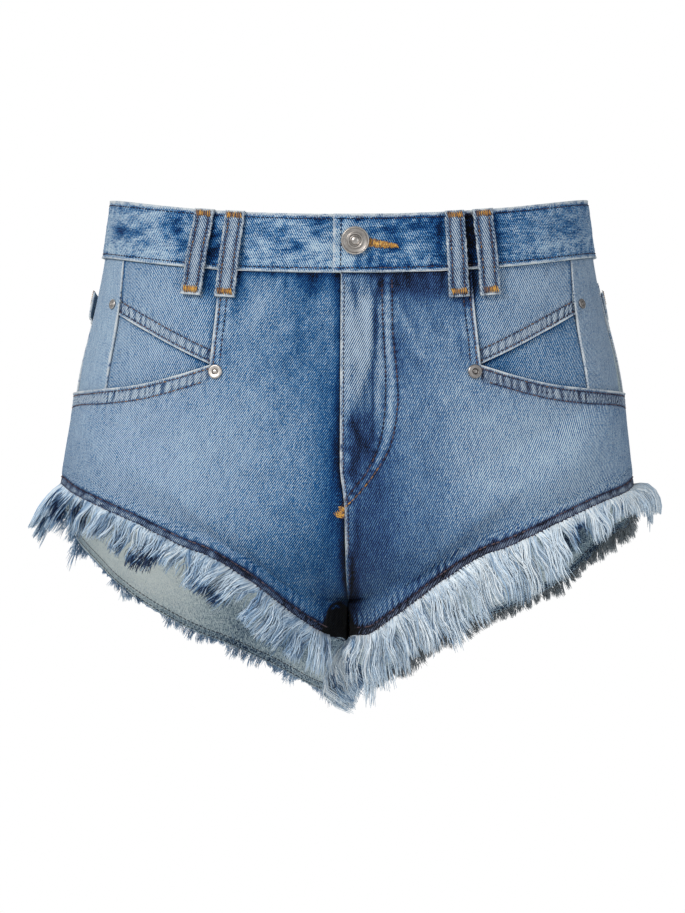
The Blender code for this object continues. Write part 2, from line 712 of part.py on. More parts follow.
def build_waistband(side):
    end = -BAND_END if side == LEFT else -BAND_UNDERLAP
    near = [end, *spaced(0.0, 0.030, 5), 0.045, 0.065, 0.09]
    arounds = [around_for(across) for across in near]
    arounds += spaced(arounds[-1], 1.0 - SEAM_GAP_AROUND / 4, 17)[1:]
    ups = [0.0, 0.12, 0.5, 0.88, 1.0]

    def line(up, depth):
        crown = BAND_CROWN * (1 - abs(2 * up - 1))
        clear_up = SEAM_GAP * (1 - up)
        points = []
        for around in arounds:
            out = band_out(side, band_point(LEFT, around, up, 0.0).x if around < 0.5 else 1.0)
            point = band_point(side, around, up, out + crown - depth)
            points.append(point + Vector((0.0, 0.0, clear_up)))
        return points

    outer, inner = [line(up, 0.0) for up in ups], [line(up, BAND_CLOTH) for up in ups]
    return thick_sheet(f"waistband_{SIDE_NAMES[side]}", "band_denim", outer, inner)


def build_loop(name, side, top_across, bottom_across, at_back):
    """A belt loop: a strap that stands off the band, with its two ends turned under and sewn down flat."""
    top, bottom = BAND_HEIGHT + LOOP_PAST_TOP, -LOOP_PAST_BAND
    end = LOOP_END / (top - bottom)
    rows = [0.0, end, *spaced(0.2, 0.8, 4), 1 - end, 1.0]

    def point(share, edge, out):
        middle = mix(top_across, bottom_across, share)
        across = middle + edge * LOOP_WIDTH / 2
        above = mix(top, bottom, share)
        around = around_for(across)
        if at_back:
            around = 1 - around
        if above >= 0:
            band = band_out(side, across) if not at_back else BAND_OUT
            return band_point(side, around, above / BAND_HEIGHT, band + BAND_CROWN + out)
        height = band_middle(around) - BAND_HEIGHT / 2 + above
        slope = ramp(-above, 0.0, LOOP_PAST_BAND)
        return on_cloth(side, around, down_to(side, around, height), mix(BAND_OUT, RIDGE, slope) + out)

    def stand_off(share):
        arch = math.sin(math.pi * ramp(share, 0.02, 0.98))
        return LOOP_CLEAR + LOOP_STANDS_OFF * arch**0.7

    outer, inner = [], []
    for share in rows:
        wall = LOOP_END_CLOTH if share <= end or share >= 1 - end else LOOP_CLOTH
        base = stand_off(share)
        outer.append([point(share, edge, base + wall) for edge in (-1, 0, 1)])
        inner.append([point(share, edge, base) for edge in (-1, 0, 1)])
    thick_sheet(name, "loop_denim", outer, inner)


# ---------------------------------------------------------------- fringe


def build_fringe(panel, side, locks, steps, length, length_at_side, side_flare, hem_arounds):
    """A row of frayed locks that hang from a narrow strip just below a panel's hem."""
    start, end = hem_arounds[0] + FRINGE_END, hem_arounds[-1] - FRINGE_END
    hem_points = [on_cloth(side, around, 1.0, 0.0) for around in hem_arounds]

    def on_hem(around):
        n = next(i for i in range(1, len(hem_arounds)) if hem_arounds[i] >= around)
        share = (around - hem_arounds[n - 1]) / (hem_arounds[n] - hem_arounds[n - 1])
        return hem_points[n - 1].lerp(hem_points[n], share)

    def frame(around):
        """The hem's edge there, the direction away from the cloth in its plane, and outwards."""
        edge = on_hem(around)
        step = FRINGE_END / 2
        along = (on_hem(around + step) - on_hem(around - step)).normalized()
        out = (on_cloth(side, around, 1.0, 0.01) - on_cloth(side, around, 1.0, 0.0)).normalized()
        away = along.cross(out).normalized()
        return edge, (away if away.z < 0 else -away), out

    mesh_data = bmesh.new()
    rings = []
    for n in range(locks):
        for root in (0.5 - LOCK_SHARE / 2, 0.5 + LOCK_SHARE / 2):
            edge, away, out = frame(mix(start, end, (n + root) / locks))
            top, foot = edge + away * FRINGE_GAP, edge + away * (FRINGE_GAP + STRIP_HEIGHT)
            corners = (top, top - out * STRIP_CLOTH, foot - out * STRIP_CLOTH, foot)
            rings.append([mesh_data.verts.new(corner) for corner in corners])
    mesh_data.faces.new(rings[0])
    mesh_data.faces.new(rings[-1])
    roots = []
    for n, (a, b) in enumerate(zip(rings, rings[1:])):
        sides = [mesh_data.faces.new((a[k], b[k], b[(k + 1) % 4], a[(k + 1) % 4])) for k in range(4)]
        if n % 2 == 0:
            roots.append(sides[2])
    for n, root in enumerate(roots):
        around = mix(start, end, (n + 0.5) / locks)
        _, away, out = frame(around)
        at_side = math.exp(-(((around - 0.5) / 0.08) ** 2))
        flare = mix(FRINGE_FLARE, side_flare, at_side) * ramp(min(around, 1 - around), 0.03, 0.15)
        uneven = 1 + sum(share * math.sin(step * n + phase * side) for step, phase, share in LOCK_UNEVENNESS)
        reach = mix(length, length_at_side, at_side) * uneven / steps
        heading = (away + out * flare).normalized()
        for _ in range(steps):
            root = bmesh.ops.extrude_discrete_faces(mesh_data, faces=[root])["faces"][0]
            middle = root.calc_center_median()
            for vertex in root.verts:
                vertex.co = middle.lerp(vertex.co, LOCK_TIP ** (1 / steps)) + heading * reach
            heading = (heading + Vector((0.0, 0.0, -LOCK_DROOP))).normalized()
    add_object(f"fringe_{panel}_{SIDE_NAMES[side]}", "fringe", mesh_data)


# ---------------------------------------------------------------- metal


def build_button():
    across, height = BUTTON_PLACE
    around = around_for(across)
    up = (height - band_middle(around)) / BAND_HEIGHT + 0.5
    out = band_out(LEFT, across) + BAND_CROWN
    point = band_point(LEFT, around, up, out + 2 * SEAM_GAP)
    normal = (band_point(LEFT, around, up, 0.01) - band_point(LEFT, around, up, 0.0)).normalized()
    stand_on_cloth(turned("button", "metal", BUTTON_PROFILE, BUTTON_SIDES), point, normal)


def build_rivets(plan):
    side, name = plan.side, SIDE_NAMES[plan.side]
    for label, place, on_side, scale in (
        ("mouth", MOUTH_RIVET, False, 1.0),
        ("coin", COIN_RIVET, True, COIN_RIVET_SCALE),
    ):
        around, down = place_of(side, *place)
        out = plan.side_out(around, down) + LOW_RIDGE if on_side else RIDGE
        point = on_cloth(side, around, down, out + SEAM_GAP)
        normal = (on_cloth(side, around, down, 0.01) - on_cloth(side, around, down, 0.0)).normalized()
        stand_on_cloth(turned(f"rivet_{label}_{name}", "metal", RIVET_PROFILE, RIVET_SIDES, scale), point, normal)


def main():
    for old in list(bpy.data.objects):
        bpy.data.objects.remove(old)
    waist = bpy.data.objects.new("waist", None)
    bpy.context.scene.collection.objects.link(waist)
    hems = {}
    for side in (LEFT, RIGHT):
        plan = FrontPlan(side)
        hems["front", side] = build_front(plan)
        hems["back", side] = build_back(side)
        build_coin_pocket(plan)
        build_facing(plan)
        build_side_panel(plan)
        build_waistband(side)
        build_rivets(plan)
    for loop in LOOPS:
        build_loop(*loop)
    for panel, side, *sizes in FRINGE:
        build_fringe(panel, side, *sizes, hems[panel, side])
    build_fly(FrontPlan(LEFT))
    build_button()


main()
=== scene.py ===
"""Denim shorts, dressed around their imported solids: fine cloth shells, thread, frayed ends and metal.

Metres, +Z up, the front towards -Y. Left and right are the wearer's, so the left side is +X. Every shell lies on the
same smooth surface as its solid. A place on it is (around, down): around is 0 at the centre front, 0.5 at the side
and 1 at the centre back, and down is 0 at the waistband's lower edge and 1 at the hem.
"""

import itertools
import math

import bpy
import numpy as np
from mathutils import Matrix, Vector
from mathutils.bvhtree import BVHTree


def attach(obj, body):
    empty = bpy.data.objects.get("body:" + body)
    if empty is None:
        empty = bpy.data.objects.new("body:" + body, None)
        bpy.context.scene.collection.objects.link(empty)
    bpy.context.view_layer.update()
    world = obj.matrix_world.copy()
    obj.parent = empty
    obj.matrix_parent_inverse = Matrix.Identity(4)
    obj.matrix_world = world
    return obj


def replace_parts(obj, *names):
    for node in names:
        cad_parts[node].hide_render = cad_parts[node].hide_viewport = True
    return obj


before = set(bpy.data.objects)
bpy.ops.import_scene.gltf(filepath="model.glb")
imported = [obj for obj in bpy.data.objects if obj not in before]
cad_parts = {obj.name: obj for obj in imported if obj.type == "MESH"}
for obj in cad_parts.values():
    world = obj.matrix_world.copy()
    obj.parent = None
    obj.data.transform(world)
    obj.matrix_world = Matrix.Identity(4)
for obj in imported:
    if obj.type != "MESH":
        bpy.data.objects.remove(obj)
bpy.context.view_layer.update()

LEFT, RIGHT = 1, -1
SIDES = {LEFT: "left", RIGHT: "right"}
FULL_TURN = 2 * math.pi

# ---------------------------------------------------------------- the solids' sizes, as in the part's source

CLOTH, BAND_CLOTH = 0.0012, 0.0024
SEAM_GAP, SEAM_GAP_AROUND = 0.0003, 0.0004
RIDGE = 0.0006
LOW_RIDGE = 0.6 * RIDGE
WAIST = 0.1492
SECTIONS = (  # (height, half width, depth in front, depth behind)
    (-0.290, 0.1785, 0.096, 0.113),
    (-0.200, 0.1770, 0.102, 0.125),
    (-0.155, 0.1746, 0.105, 0.129),
    (-0.120, 0.1702, 0.105, 0.127),
    (-0.085, 0.1652, 0.103, 0.120),
    (-0.050, 0.1562, 0.100, 0.110),
    (-0.0175, WAIST, 0.096, 0.101),
    (0.020, 0.1441, 0.092, 0.096),
)
ROUNDNESS = 0.85
HEM = (  # (around, height)
    (0.00, -0.2580), (0.05, -0.2485), (0.10, -0.2450), (0.15, -0.2320), (0.20, -0.2135), (0.25, -0.1955),
    (0.32, -0.1765), (0.40, -0.1630), (0.50, -0.1575), (0.53, -0.1790), (0.56, -0.1930), (0.60, -0.2050),
    (0.65, -0.2220), (0.70, -0.2385), (0.80, -0.2675), (0.90, -0.2850), (0.95, -0.2770), (1.00, -0.2580),
)
LEFT_BACK_HEM_LIFT = 0.016
TURN_DOWN, TURN_HEIGHT = 0.55, -0.165
CROTCH_DOWN, CROTCH_HEIGHT = 0.93, -0.226
CROTCH_BACK = 0.008
RISE_REACH = 0.16
THIGH_GAP = 0.0016
LEG_DEPTH = 0.95
HIP_FILL = 0.12
BAND_HEIGHT, BAND_OUT, BAND_CROWN = 0.035, 0.0013, 0.0004
FRONT_DIP, BACK_DIP = 0.012, 0.004
BAND_END, BAND_UNDERLAP = 0.007, 0.016
BAND_STEP = (0.009, 0.028)
BAND_DROP, BAND_LIFT = -0.0006, 0.001
FLY_PAST_CENTRE, FLY_END_HEIGHT = 0.0025, -0.172
POCKET_SEAM = ((0.0745, -0.0290), (0.0800, -0.0840))
MOUTH = ((0.0800, -0.0840), (0.1000, -0.0900), (0.1220, -0.0952), (0.1450, -0.0977))
MOUTH_AT_SIDE = ((0.500, -0.1000), (0.540, -0.1000))
COIN_EDGE = ((0.0815, -0.0830), (0.1380, -0.0525))
FORWARD_SEAM = ((0.1346, -0.0225), (0.1378, -0.0528), (0.1418, -0.0750), (0.1456, -0.0965))
SIDE_SEAM = 0.52
UNDER_MOUTH, UNDER_COIN, UNDER_SIDE = 0.009, 0.006, 0.012
COIN_OUT, COIN_SINK = -0.0003, 0.0012
MOUTH_CLEARANCE, SIDE_SINK, FACING_BELOW = 0.0006, 0.0012, 0.0017
YOKE_SIDE_HEIGHT, YOKE_CENTRE_HEIGHT = -0.032, -0.070
BACK_POCKET_AROUND, BACK_POCKET_TAPER = (0.534, 0.910), 0.035
BACK_POCKET_TOP = (-0.038, -0.076)
BACK_POCKET_BOTTOM, BACK_POCKET_POINT = -0.158, 0.014
BACK_POCKET_HEM, BACK_POCKET_HEM_END = 0.12, 0.16
BACK_POCKET_GAPE = {LEFT: 0.0008, RIGHT: 0.0030}
LOOPS = (  # (name, side, across at the top, across at the bottom, at the back)
    ("belt_loop_inner_left", LEFT, 0.0654, 0.0647, False),
    ("belt_loop_outer_left", LEFT, 0.0821, 0.0826, False),
    ("belt_loop_back_left", LEFT, 0.0110, 0.0122, True),
    ("belt_loop_inner_right", RIGHT, 0.0660, 0.0685, False),
    ("belt_loop_outer_right", RIGHT, 0.0844, 0.0882, False),
    ("belt_loop_back_right", RIGHT, 0.0110, 0.0122, True),
)
LOOP_WIDTH, LOOP_CLOTH = 0.0114, 0.0014
LOOP_CLEAR, LOOP_STANDS_OFF = 0.00036, 0.0026
LOOP_PAST_TOP, LOOP_PAST_BAND = 0.0004, 0.0163
LOOP_END, LOOP_END_CLOTH = 0.006, 0.0024
FOLDS = (  # (side, panel, across, height, to across, to height, half width, rise)
    (LEFT, "front", 0.022, -0.040, 0.026, -0.150, 0.0120, -0.0016),
    (LEFT, "front", 0.052, -0.168, 0.016, -0.222, 0.0130, 0.0020),
    (LEFT, "front", 0.020, -0.150, 0.012, -0.215, 0.0110, -0.0018),
    (RIGHT, "front", 0.056, -0.162, 0.016, -0.226, 0.0130, 0.0020),
    (RIGHT, "front", 0.022, -0.130, 0.012, -0.214, 0.0120, -0.0020),
    (LEFT, "back", 0.020, -0.180, 0.120, -0.212, 0.0130, -0.0024),
    (RIGHT, "back", 0.024, -0.178, 0.118, -0.226, 0.0130, -0.0024),
    (LEFT, "back", 0.016, -0.205, 0.074, -0.246, 0.0110, -0.0016),
    (RIGHT, "back", 0.014, -0.205, 0.078, -0.254, 0.0110, -0.0016),
)
HEM_WAVES = ((3.0, 0.4, 0.0016), (7.0, 1.7, 0.0010))
HEM_WAVE_START = 0.6
BUTTON_PLACE = (0.0061, -0.0106)
MOUTH_RIVET, COIN_RIVET = (0.0767, -0.0880), (0.1412, -0.0465)
COIN_RIVET_SCALE = 0.72

# ---------------------------------------------------------------- numbers


def ramp(value, start, end):
    """0 before start, 1 after end, and smooth between them."""
    share = np.clip((np.asarray(value, float) - start) / (end - start), 0.0, 1.0)
    return share * share * (3 - 2 * share)


def mix(a, b, share):
    return a + (b - a) * share


def power(value, exponent):
    return np.sign(value) * np.abs(value) ** exponent


def bell(value, middle, half_width):
    """1 in the middle, falling softly to both sides."""
    return np.exp(-(((value - middle) / half_width) ** 2))


def plateau(value, middle, half_width):
    """Like a bell, with a flatter top and steeper sides."""
    return np.exp(-(((value - middle) / half_width) ** 4))


def smooth_curve(rows, column, at):
    """The column's value where the first column is at, on a smooth curve through the rows."""
    x, y = np.array([row[0] for row in rows]), np.array([row[column] for row in rows])
    places = np.arange(len(x))
    low, high = np.maximum(places - 1, 0), np.minimum(places + 1, len(x) - 1)
    slope = (y[high] - y[low]) / (x[high] - x[low])
    at = np.clip(at, x[0], x[-1])
    i = np.clip(np.searchsorted(x, at), 1, len(x) - 1)
    length = x[i] - x[i - 1]
    share = (at - x[i - 1]) / length
    squared, cubed = share**2, share**3
    return (
        (2 * cubed - 3 * squared + 1) * y[i - 1]
        + (cubed - 2 * squared + share) * length * slope[i - 1]
        + (3 * squared - 2 * cubed) * y[i]
        + (cubed - squared) * length * slope[i]
    )


def solve(function, target, low, high):
    """Where a steadily changing function reaches each target."""
    low, high = np.full(np.shape(target), low, float), np.full(np.shape(target), high, float)
    rising = function(high) > function(low)
    for _ in range(30):
        middle = (low + high) / 2
        on = (function(middle) < target) == rising
        low, high = np.where(on, middle, low), np.where(on, high, middle)
    return (low + high) / 2


def unit(vectors):
    return vectors / np.maximum(np.linalg.norm(vectors, axis=-1, keepdims=True), 1e-12)


def scatter(seed):
    return np.random.default_rng(seed)


def run_along(line):
    """The length of a path up to each of its points."""
    return np.insert(np.cumsum(np.linalg.norm(np.diff(line, axis=0), axis=1)), 0, 0.0)


def read_at(at, run, values):
    """The rows of values at other places along the run."""
    return np.stack([np.interp(at, run, column) for column in values.T], -1)


def grid_quads(rows, columns):
    index = np.arange(rows * columns).reshape(rows, columns)
    return np.stack([index[:-1, :-1], index[:-1, 1:], index[1:, 1:], index[1:, :-1]], -1)


def ring_quads(index):
    """The faces between closed rings of points that follow one another: index is (..., rings, points)."""
    a, b = index[..., :-1, :], index[..., 1:, :]
    return np.stack([a, np.roll(a, -1, -1), np.roll(b, -1, -1), b], -1).reshape(-1, 4)


def noise(seed, *scaled):
    """Smooth noise from -1 to 1, one cell for each unit of the coordinates."""
    scaled = np.broadcast_arrays(*scaled)
    base = [np.floor(c).astype(np.int64) for c in scaled]
    part = [c - b for c, b in zip(scaled, base)]
    part = [p * p * (3 - 2 * p) for p in part]
    total = 0.0
    for corner in itertools.product((0, 1), repeat=len(base)):
        mixed = np.full(base[0].shape, seed * 7919 + 17, np.int64)
        weight = 1.0
        for b, p, c, prime in zip(base, part, corner, (73856093, 19349663, 83492791)):
            mixed ^= (b + c) * prime
            weight = weight * (p if c else 1 - p)
        mixed = (mixed ^ (mixed >> 13)) * 1274126177 & 0x7FFFFFFF
        mixed = (mixed ^ (mixed >> 15)) * 668265263 & 0x7FFFFFFF
        total = total + weight * (mixed / 0x3FFFFFFF - 1)
    return total


FINE_STEP, BACK_STEP = 0.0013, 0.0018  # the usual steps of the sheets' grids
FINEST, COARSENING = 0.0005, 0.22  # the step at a seam, and how much it grows for each metre away from it


def graded(start, end, length, step, fine_start=False, fine_end=False):
    """Places from start to end that are a step apart along that length, and closer by an end that is a seam."""
    runs = [0.0]
    while runs[-1] < length:
        near = [runs[-1]] * fine_start + [length - runs[-1]] * fine_end + [length]
        runs.append(runs[-1] + min(step, FINEST + COARSENING * max(0.0, min(near))))
    runs = np.array(runs) / runs[-1]
    return mix(start, end, runs)


# ---------------------------------------------------------------- the garment's surface


def band_middle(around):
    level = np.cos(math.pi * around)
    return -np.where(level > 0, FRONT_DIP, BACK_DIP) * level**2


def turn_angle(down):
    return math.pi / 2 * np.clip((down - TURN_DOWN) / (CROTCH_DOWN - TURN_DOWN), 0.0, 1.0)


def rise_height(top, hem, down):
    upright = mix(top, TURN_HEIGHT, down / TURN_DOWN)
    turning = mix(TURN_HEIGHT, CROTCH_HEIGHT, np.sin(turn_angle(down)))
    inseam = mix(CROTCH_HEIGHT, hem, (down - CROTCH_DOWN) / (1 - CROTCH_DOWN))
    return np.where(down < TURN_DOWN, upright, np.where(down < CROTCH_DOWN, turning, inseam))


def hem_height(side, around):
    lift = LEFT_BACK_HEM_LIFT if side == LEFT else 0.0
    return smooth_curve(HEM, 1, around) + lift * ramp(around, 0.5, 0.6) * ramp(1 - around, 0.0, 0.22)


def height_at(side, around, down):
    top, hem = band_middle(around) - BAND_HEIGHT / 2, hem_height(side, around)
    near_rise = 1 - ramp(np.minimum(around, 1 - around), 0.0, RISE_REACH)
    return mix(mix(top, hem, down), rise_height(top, hem, down), near_rise)


def surface(side, around, down):
    """Points of the surface, with across measured from the middle towards their own side."""
    around, down = np.broadcast_arrays(np.asarray(around, float), np.asarray(down, float))
    past = (around < 0) | (around > 1)
    mirrored = past & (down < CROTCH_DOWN)
    folded = np.where(around < 0, -around, 2 - around)
    around = np.where(mirrored, folded, np.where(past, around % 1.0, around))
    height = height_at(side, around, down)
    half_width, front, back = (smooth_curve(SECTIONS, n, height) for n in (1, 2, 3))
    depth = np.where(around < 0.5, front, back)
    angle = math.pi * around
    below = np.maximum(0.0, (down - CROTCH_DOWN) / (1 - CROTCH_DOWN))
    inside = THIGH_GAP * (1 - (1 - below) ** 2)
    leg_share = 1 - np.cos(turn_angle(down))
    body_x = half_width * power(np.sin(angle), ROUNDNESS)
    body_y = -depth * power(np.cos(angle), ROUNDNESS)
    leg_x = inside + (half_width - inside) / 2 * (1 - power(np.cos(2 * angle), ROUNDNESS))
    leg_y = CROTCH_BACK - LEG_DEPTH * depth * power(np.sin(2 * angle), ROUNDNESS)
    fill = HIP_FILL * depth * np.sin(math.pi * leg_share**0.6)
    x = mix(body_x, leg_x, leg_share) * np.where(mirrored, -1.0, 1.0)
    y = mix(body_y, leg_y, leg_share) - fill * power(np.sin(2 * angle), ROUNDNESS)
    return np.stack([x, y, height], -1)


NEAR_AROUND, NEAR_DOWN = 0.008, 0.012  # how far apart the points are that give a direction


def outward(side, around, down):
    along = surface(side, around + NEAR_AROUND, down) - surface(side, around - NEAR_AROUND, down)
    low, high = np.maximum(down - NEAR_DOWN, 0.0), np.minimum(down + NEAR_DOWN, 1.0)
    return unit(np.cross(along, surface(side, around, low) - surface(side, around, high)))


def fold_rise(side, around, down, point):
    """How far the large folds and the hem's waves lift the cloth there."""
    rise = 0.0
    at_front = around < SIDE_SEAM
    for fold_side, panel, x0, z0, x1, z1, half_width, height in FOLDS:
        run = np.array((x1 - x0, z1 - z0))
        place = np.stack([point[..., 0] * side * fold_side - x0, point[..., 2] - z0], -1)
        share = place @ run / (run @ run)
        off = np.linalg.norm(place - share[..., None] * run, axis=-1) / half_width
        inside = (share > 0) & (share < 1) & (off < 2) & (at_front == (panel == "front"))
        rise = rise + inside * height * np.sin(math.pi * np.clip(share, 0, 1)) * np.exp(-1.5 * off**2)
    wave_share = ramp(down, HEM_WAVE_START, 1.0) * ramp(np.minimum(around, 1 - around), 0.03, 0.12)
    for waves, phase, height in HEM_WAVES:
        rise = rise + wave_share * height * np.sin(FULL_TURN * waves * around + phase * side)
    return rise


def cloth_frame(side, around, down):
    """Points with the folds, and their outward directions, both in the garment's frame."""
    around, down = np.broadcast_arrays(np.asarray(around, float), np.asarray(down, float))
    point, normal = surface(side, around, down), outward(side, around, down)
    point = point + normal * fold_rise(side, around, down, point)[..., None]
    mirror = np.array((side, 1.0, 1.0))
    return point * mirror, normal * mirror


def down_to(side, around, height):
    around, height = np.broadcast_arrays(np.asarray(around, float), np.asarray(height, float))
    return solve(lambda down: height_at(side, around, down), height, 0.0, 1.0)


def around_for(across):
    return np.sign(across) * np.arcsin((np.abs(across) / WAIST) ** (1 / ROUNDNESS)) / math.pi


def place_of(side, across, height):
    """(around, down) of the places seen from the front, that far from the middle and that high."""
    across, height = np.asarray(across, float), np.asarray(height, float)

    def across_at(around):
        return surface(side, around, down_to(side, around, height))[..., 0]

    around = solve(across_at, across, 0.0, 0.5)
    return around, down_to(side, around, height)


class FrontPlan:
    """Where one half's front seams and pocket edges run on the surface."""

    def __init__(self, side):
        self.side = side
        self.seam = [place_of(side, *p) for p in POCKET_SEAM]
        self.mouth = [(float(place_of(side, *p)[0]), p[1]) for p in MOUTH] + list(MOUTH_AT_SIDE)
        self.forward = [tuple(float(x) for x in place_of(side, *p)[::-1]) for p in FORWARD_SEAM]
        self.coin = [place_of(side, *p) for p in COIN_EDGE]
        self.fly_end = float(down_to(side, 0.0, FLY_END_HEIGHT))

    def centre_edge(self, down):
        past = FLY_PAST_CENTRE * (1 - ramp(down, self.fly_end - 0.12, self.fly_end))
        return -self.side * around_for(past)

    def pocket_seam(self, down):
        (a0, d0), (a1, d1) = self.seam
        return mix(a0, a1, np.clip((down - d0) / (d1 - d0), 0.0, 1.0))

    def mouth_down(self, around):
        around = np.maximum(around, self.seam[1][0])
        return down_to(self.side, around, smooth_curve(self.mouth, 1, around))

    def forward_seam(self, down):
        return smooth_curve(self.forward, 1, down)

    def coin_down(self, around):
        (a0, d0), (a1, d1) = self.coin
        return mix(d0, d1, (around - a0) / (a1 - a0))

    def below(self, around, down, distance):
        return down_to(self.side, around, height_at(self.side, around, down) - distance)

    def tucked_under(self, around, row):
        return self.below(around, self.mouth_down(around), (row - 1) * UNDER_MOUTH)

    def sink(self, around, down):
        return np.minimum(1.2, down / self.mouth_down(around))

    def coin_out(self, around, down):
        sink = self.sink(around, down)
        return COIN_OUT - COIN_SINK * sink - MOUTH_CLEARANCE * ramp(sink, 1.0, 1.04)

    def side_out(self, around, down):
        start = self.forward_seam(down)
        towards_side = ramp((around - start) / (0.5 - start), 0.0, 1.0)
        return self.coin_out(around, down) - SIDE_SINK * towards_side * self.sink(around, down)


def band_point(side, around, up, out):
    """Points of the waistband, up from 0 at its lower edge to 1 at its top."""
    height = band_middle(around) + (up - 0.5) * BAND_HEIGHT
    half_width, front, back = (smooth_curve(SECTIONS, n, height) for n in (1, 2, 3))

    def ring(at):
        level = np.cos(math.pi * at)
        x = half_width * power(np.sin(math.pi * at), ROUNDNESS)
        return np.stack([x, -np.where(level > 0, front, back) * power(level, ROUNDNESS), height], -1)

    along = unit(ring(around + NEAR_AROUND) - ring(around - NEAR_AROUND))
    normal = np.stack([along[..., 1], -along[..., 0], 0 * height], -1)
    mirror = np.array((side, 1.0, 1.0))
    return (ring(around) + normal * np.asarray(out)[..., None]) * mirror, normal * mirror


def band_out(side, across):
    if side == LEFT:
        return BAND_OUT + BAND_LIFT * (1 - ramp(across, 0.012, 0.030))
    return mix(BAND_DROP, BAND_OUT, ramp(across, *BAND_STEP))


# ---------------------------------------------------------------- materials


def srgb(r, g, b):
    """A linear colour from a screen colour of 0 to 255."""
    return tuple(((c / 255 + 0.055) / 1.055) ** 2.4 if c > 10 else c / 3294 for c in (r, g, b))


def stops(*rows):
    """Colour stops from (place, red, green, blue), with screen colours of 0 to 255."""
    return [(place, srgb(*colour)) for place, *colour in rows]


class Shader:
    """A material's nodes, made by short calls."""

    def __init__(self, name):
        self.material = bpy.data.materials.new(name)
        self.material.use_nodes = True
        self.tree = self.material.node_tree
        self.surface = self.tree.nodes["Principled BSDF"]

    def node(self, kind, inputs=None, **settings):
        made = self.tree.nodes.new("ShaderNode" + kind)
        for key, value in settings.items():
            setattr(made, key, value)
        for key, value in (inputs or {}).items():
            self.put(value, made.inputs[key])
        return made

    def put(self, value, socket):
        if isinstance(value, bpy.types.NodeSocket):
            self.tree.links.new(value, socket)
        else:
            socket.default_value = value

    def math(self, operation, *values):
        made = self.node("Math", dict(enumerate(values)), operation=operation)
        return made.outputs[0]

    def total(self, *terms):
        """The sum of socket * number pairs."""
        found = None
        for socket, share in terms:
            found = self.math("MULTIPLY_ADD", socket, share, 0.0 if found is None else found)
        return found

    def attribute(self, name):
        return self.node("Attribute", attribute_name=name).outputs["Fac"]

    def noise(self, uv, across, down, detail=2.0, seed=0.0):
        """Noise from about -1 to 1 whose grains are that many metres across and down."""
        scale, shift = (1 / across, 1 / down, 1.0), (seed, seed, 0.0)
        place = self.node("Mapping", {"Vector": uv, "Scale": scale, "Location": shift}).outputs[0]
        made = self.node("TexNoise", {"Vector": place, "Scale": 1.0, "Detail": detail}, noise_dimensions="2D")
        return self.math("MULTIPLY_ADD", made.outputs["Fac"], 3.0, -1.5)

    def fleck(self, scale, detail):
        """Noise from 0 to 1 in the object's space, with that many grains to the metre."""
        place = self.node("TexCoord").outputs["Object"]
        return self.node("TexNoise", {"Vector": place, "Scale": scale, "Detail": detail}).outputs["Fac"]

    def remap(self, value, low, high, to_low=0.0, to_high=1.0):
        """The value's share of the way from low to high, laid between the other two."""
        ends = {"From Min": low, "From Max": high, "To Min": to_low, "To Max": to_high}
        return self.node("MapRange", {"Value": value, **ends}).outputs[0]

    def ramp(self, value, stops):
        made = self.node("ValToRGB", {"Fac": value})
        elements = made.color_ramp.elements
        while len(elements) < len(stops):
            elements.new(0.5)
        for element, (place, colour) in zip(elements, stops):
            element.position, element.color = place, (*colour, 1.0)
        return made.outputs["Color"]

    def blend(self, share, a, b):
        """The colour that share of the way from a to b, each a socket or a plain colour."""
        made = self.node("Mix", {0: share}, data_type="RGBA")
        for value, socket in ((a, made.inputs[6]), (b, made.inputs[7])):
            self.put((*value, 1.0) if isinstance(value, tuple) else value, socket)
        return made.outputs[2]

    def finish(self, colour, height, bump, roughness=0.9, **constant):
        """Joins the colour and the relief to the surface, and gives back the material."""
        self.put(colour, self.surface.inputs["Base Color"])
        for name, value in {"Roughness": roughness, **constant}.items():
            self.surface.inputs[name.replace("_", " ")].default_value = value
        made = self.node("Bump", {"Strength": bump, "Distance": BUMP_DEPTH, "Height": height})
        self.put(made.outputs[0], self.surface.inputs["Normal"])
        return self.material


BUMP_DEPTH = 0.0004  # what a shader's height of 1 stands for, in metres
PAINTED_SHADE_FLOOR = -0.35  # the level where painted shade is black, as in a fold's depth
FADE_AND_SHADE_STOPS = stops(  # from painted shade, black as in a fold's depth, through unfaded indigo to the palest wash
    (PAINTED_SHADE_FLOOR, 1, 2, 6), (-0.12, 8, 22, 50), (0.00, 6, 36, 78), (0.25, 0, 66, 128),
    (0.50, 58, 116, 160), (0.72, 119, 152, 178), (0.86, 148, 172, 192), (1.00, 186, 200, 210),
)
INSIDE_STOPS = stops(
    (0.0, 10, 16, 30), (0.18, 44, 62, 88), (0.30, 112, 132, 148),
    (0.48, 172, 187, 194), (0.68, 216, 225, 226), (1.0, 246, 250, 246),
)
THREAD_STOPS = stops(
    (0.00, 30, 30, 46), (0.18, 58, 51, 66), (0.36, 96, 80, 86), (0.50, 130, 104, 84),
    (0.64, 172, 124, 68), (0.80, 208, 156, 76), (1.00, 234, 200, 124),
)
FRINGE_STOPS = stops(
    (0.00, 20, 40, 74), (0.10, 44, 78, 120), (0.30, 112, 146, 182),
    (0.52, 176, 200, 222), (0.78, 214, 228, 240), (1.00, 240, 246, 250),
)
# the left back leg's threads: grey, partly painted shade
SHADED_FRINGE_STOPS = stops((0.00, 78, 83, 90), (0.30, 116, 122, 128), (0.60, 152, 159, 164), (1.00, 196, 202, 206))
WORN_COLOUR = srgb(196, 202, 206)
GREYNESS = 0.8  # how bright grey cloth is beside blue cloth
TWILL_PITCH, TWILL_STEEPNESS = 0.00118, math.radians(62)
INSIDE_TWILL = (-4700.0, 2500.0)  # how fast the ribs of the wrong side turn, across and down


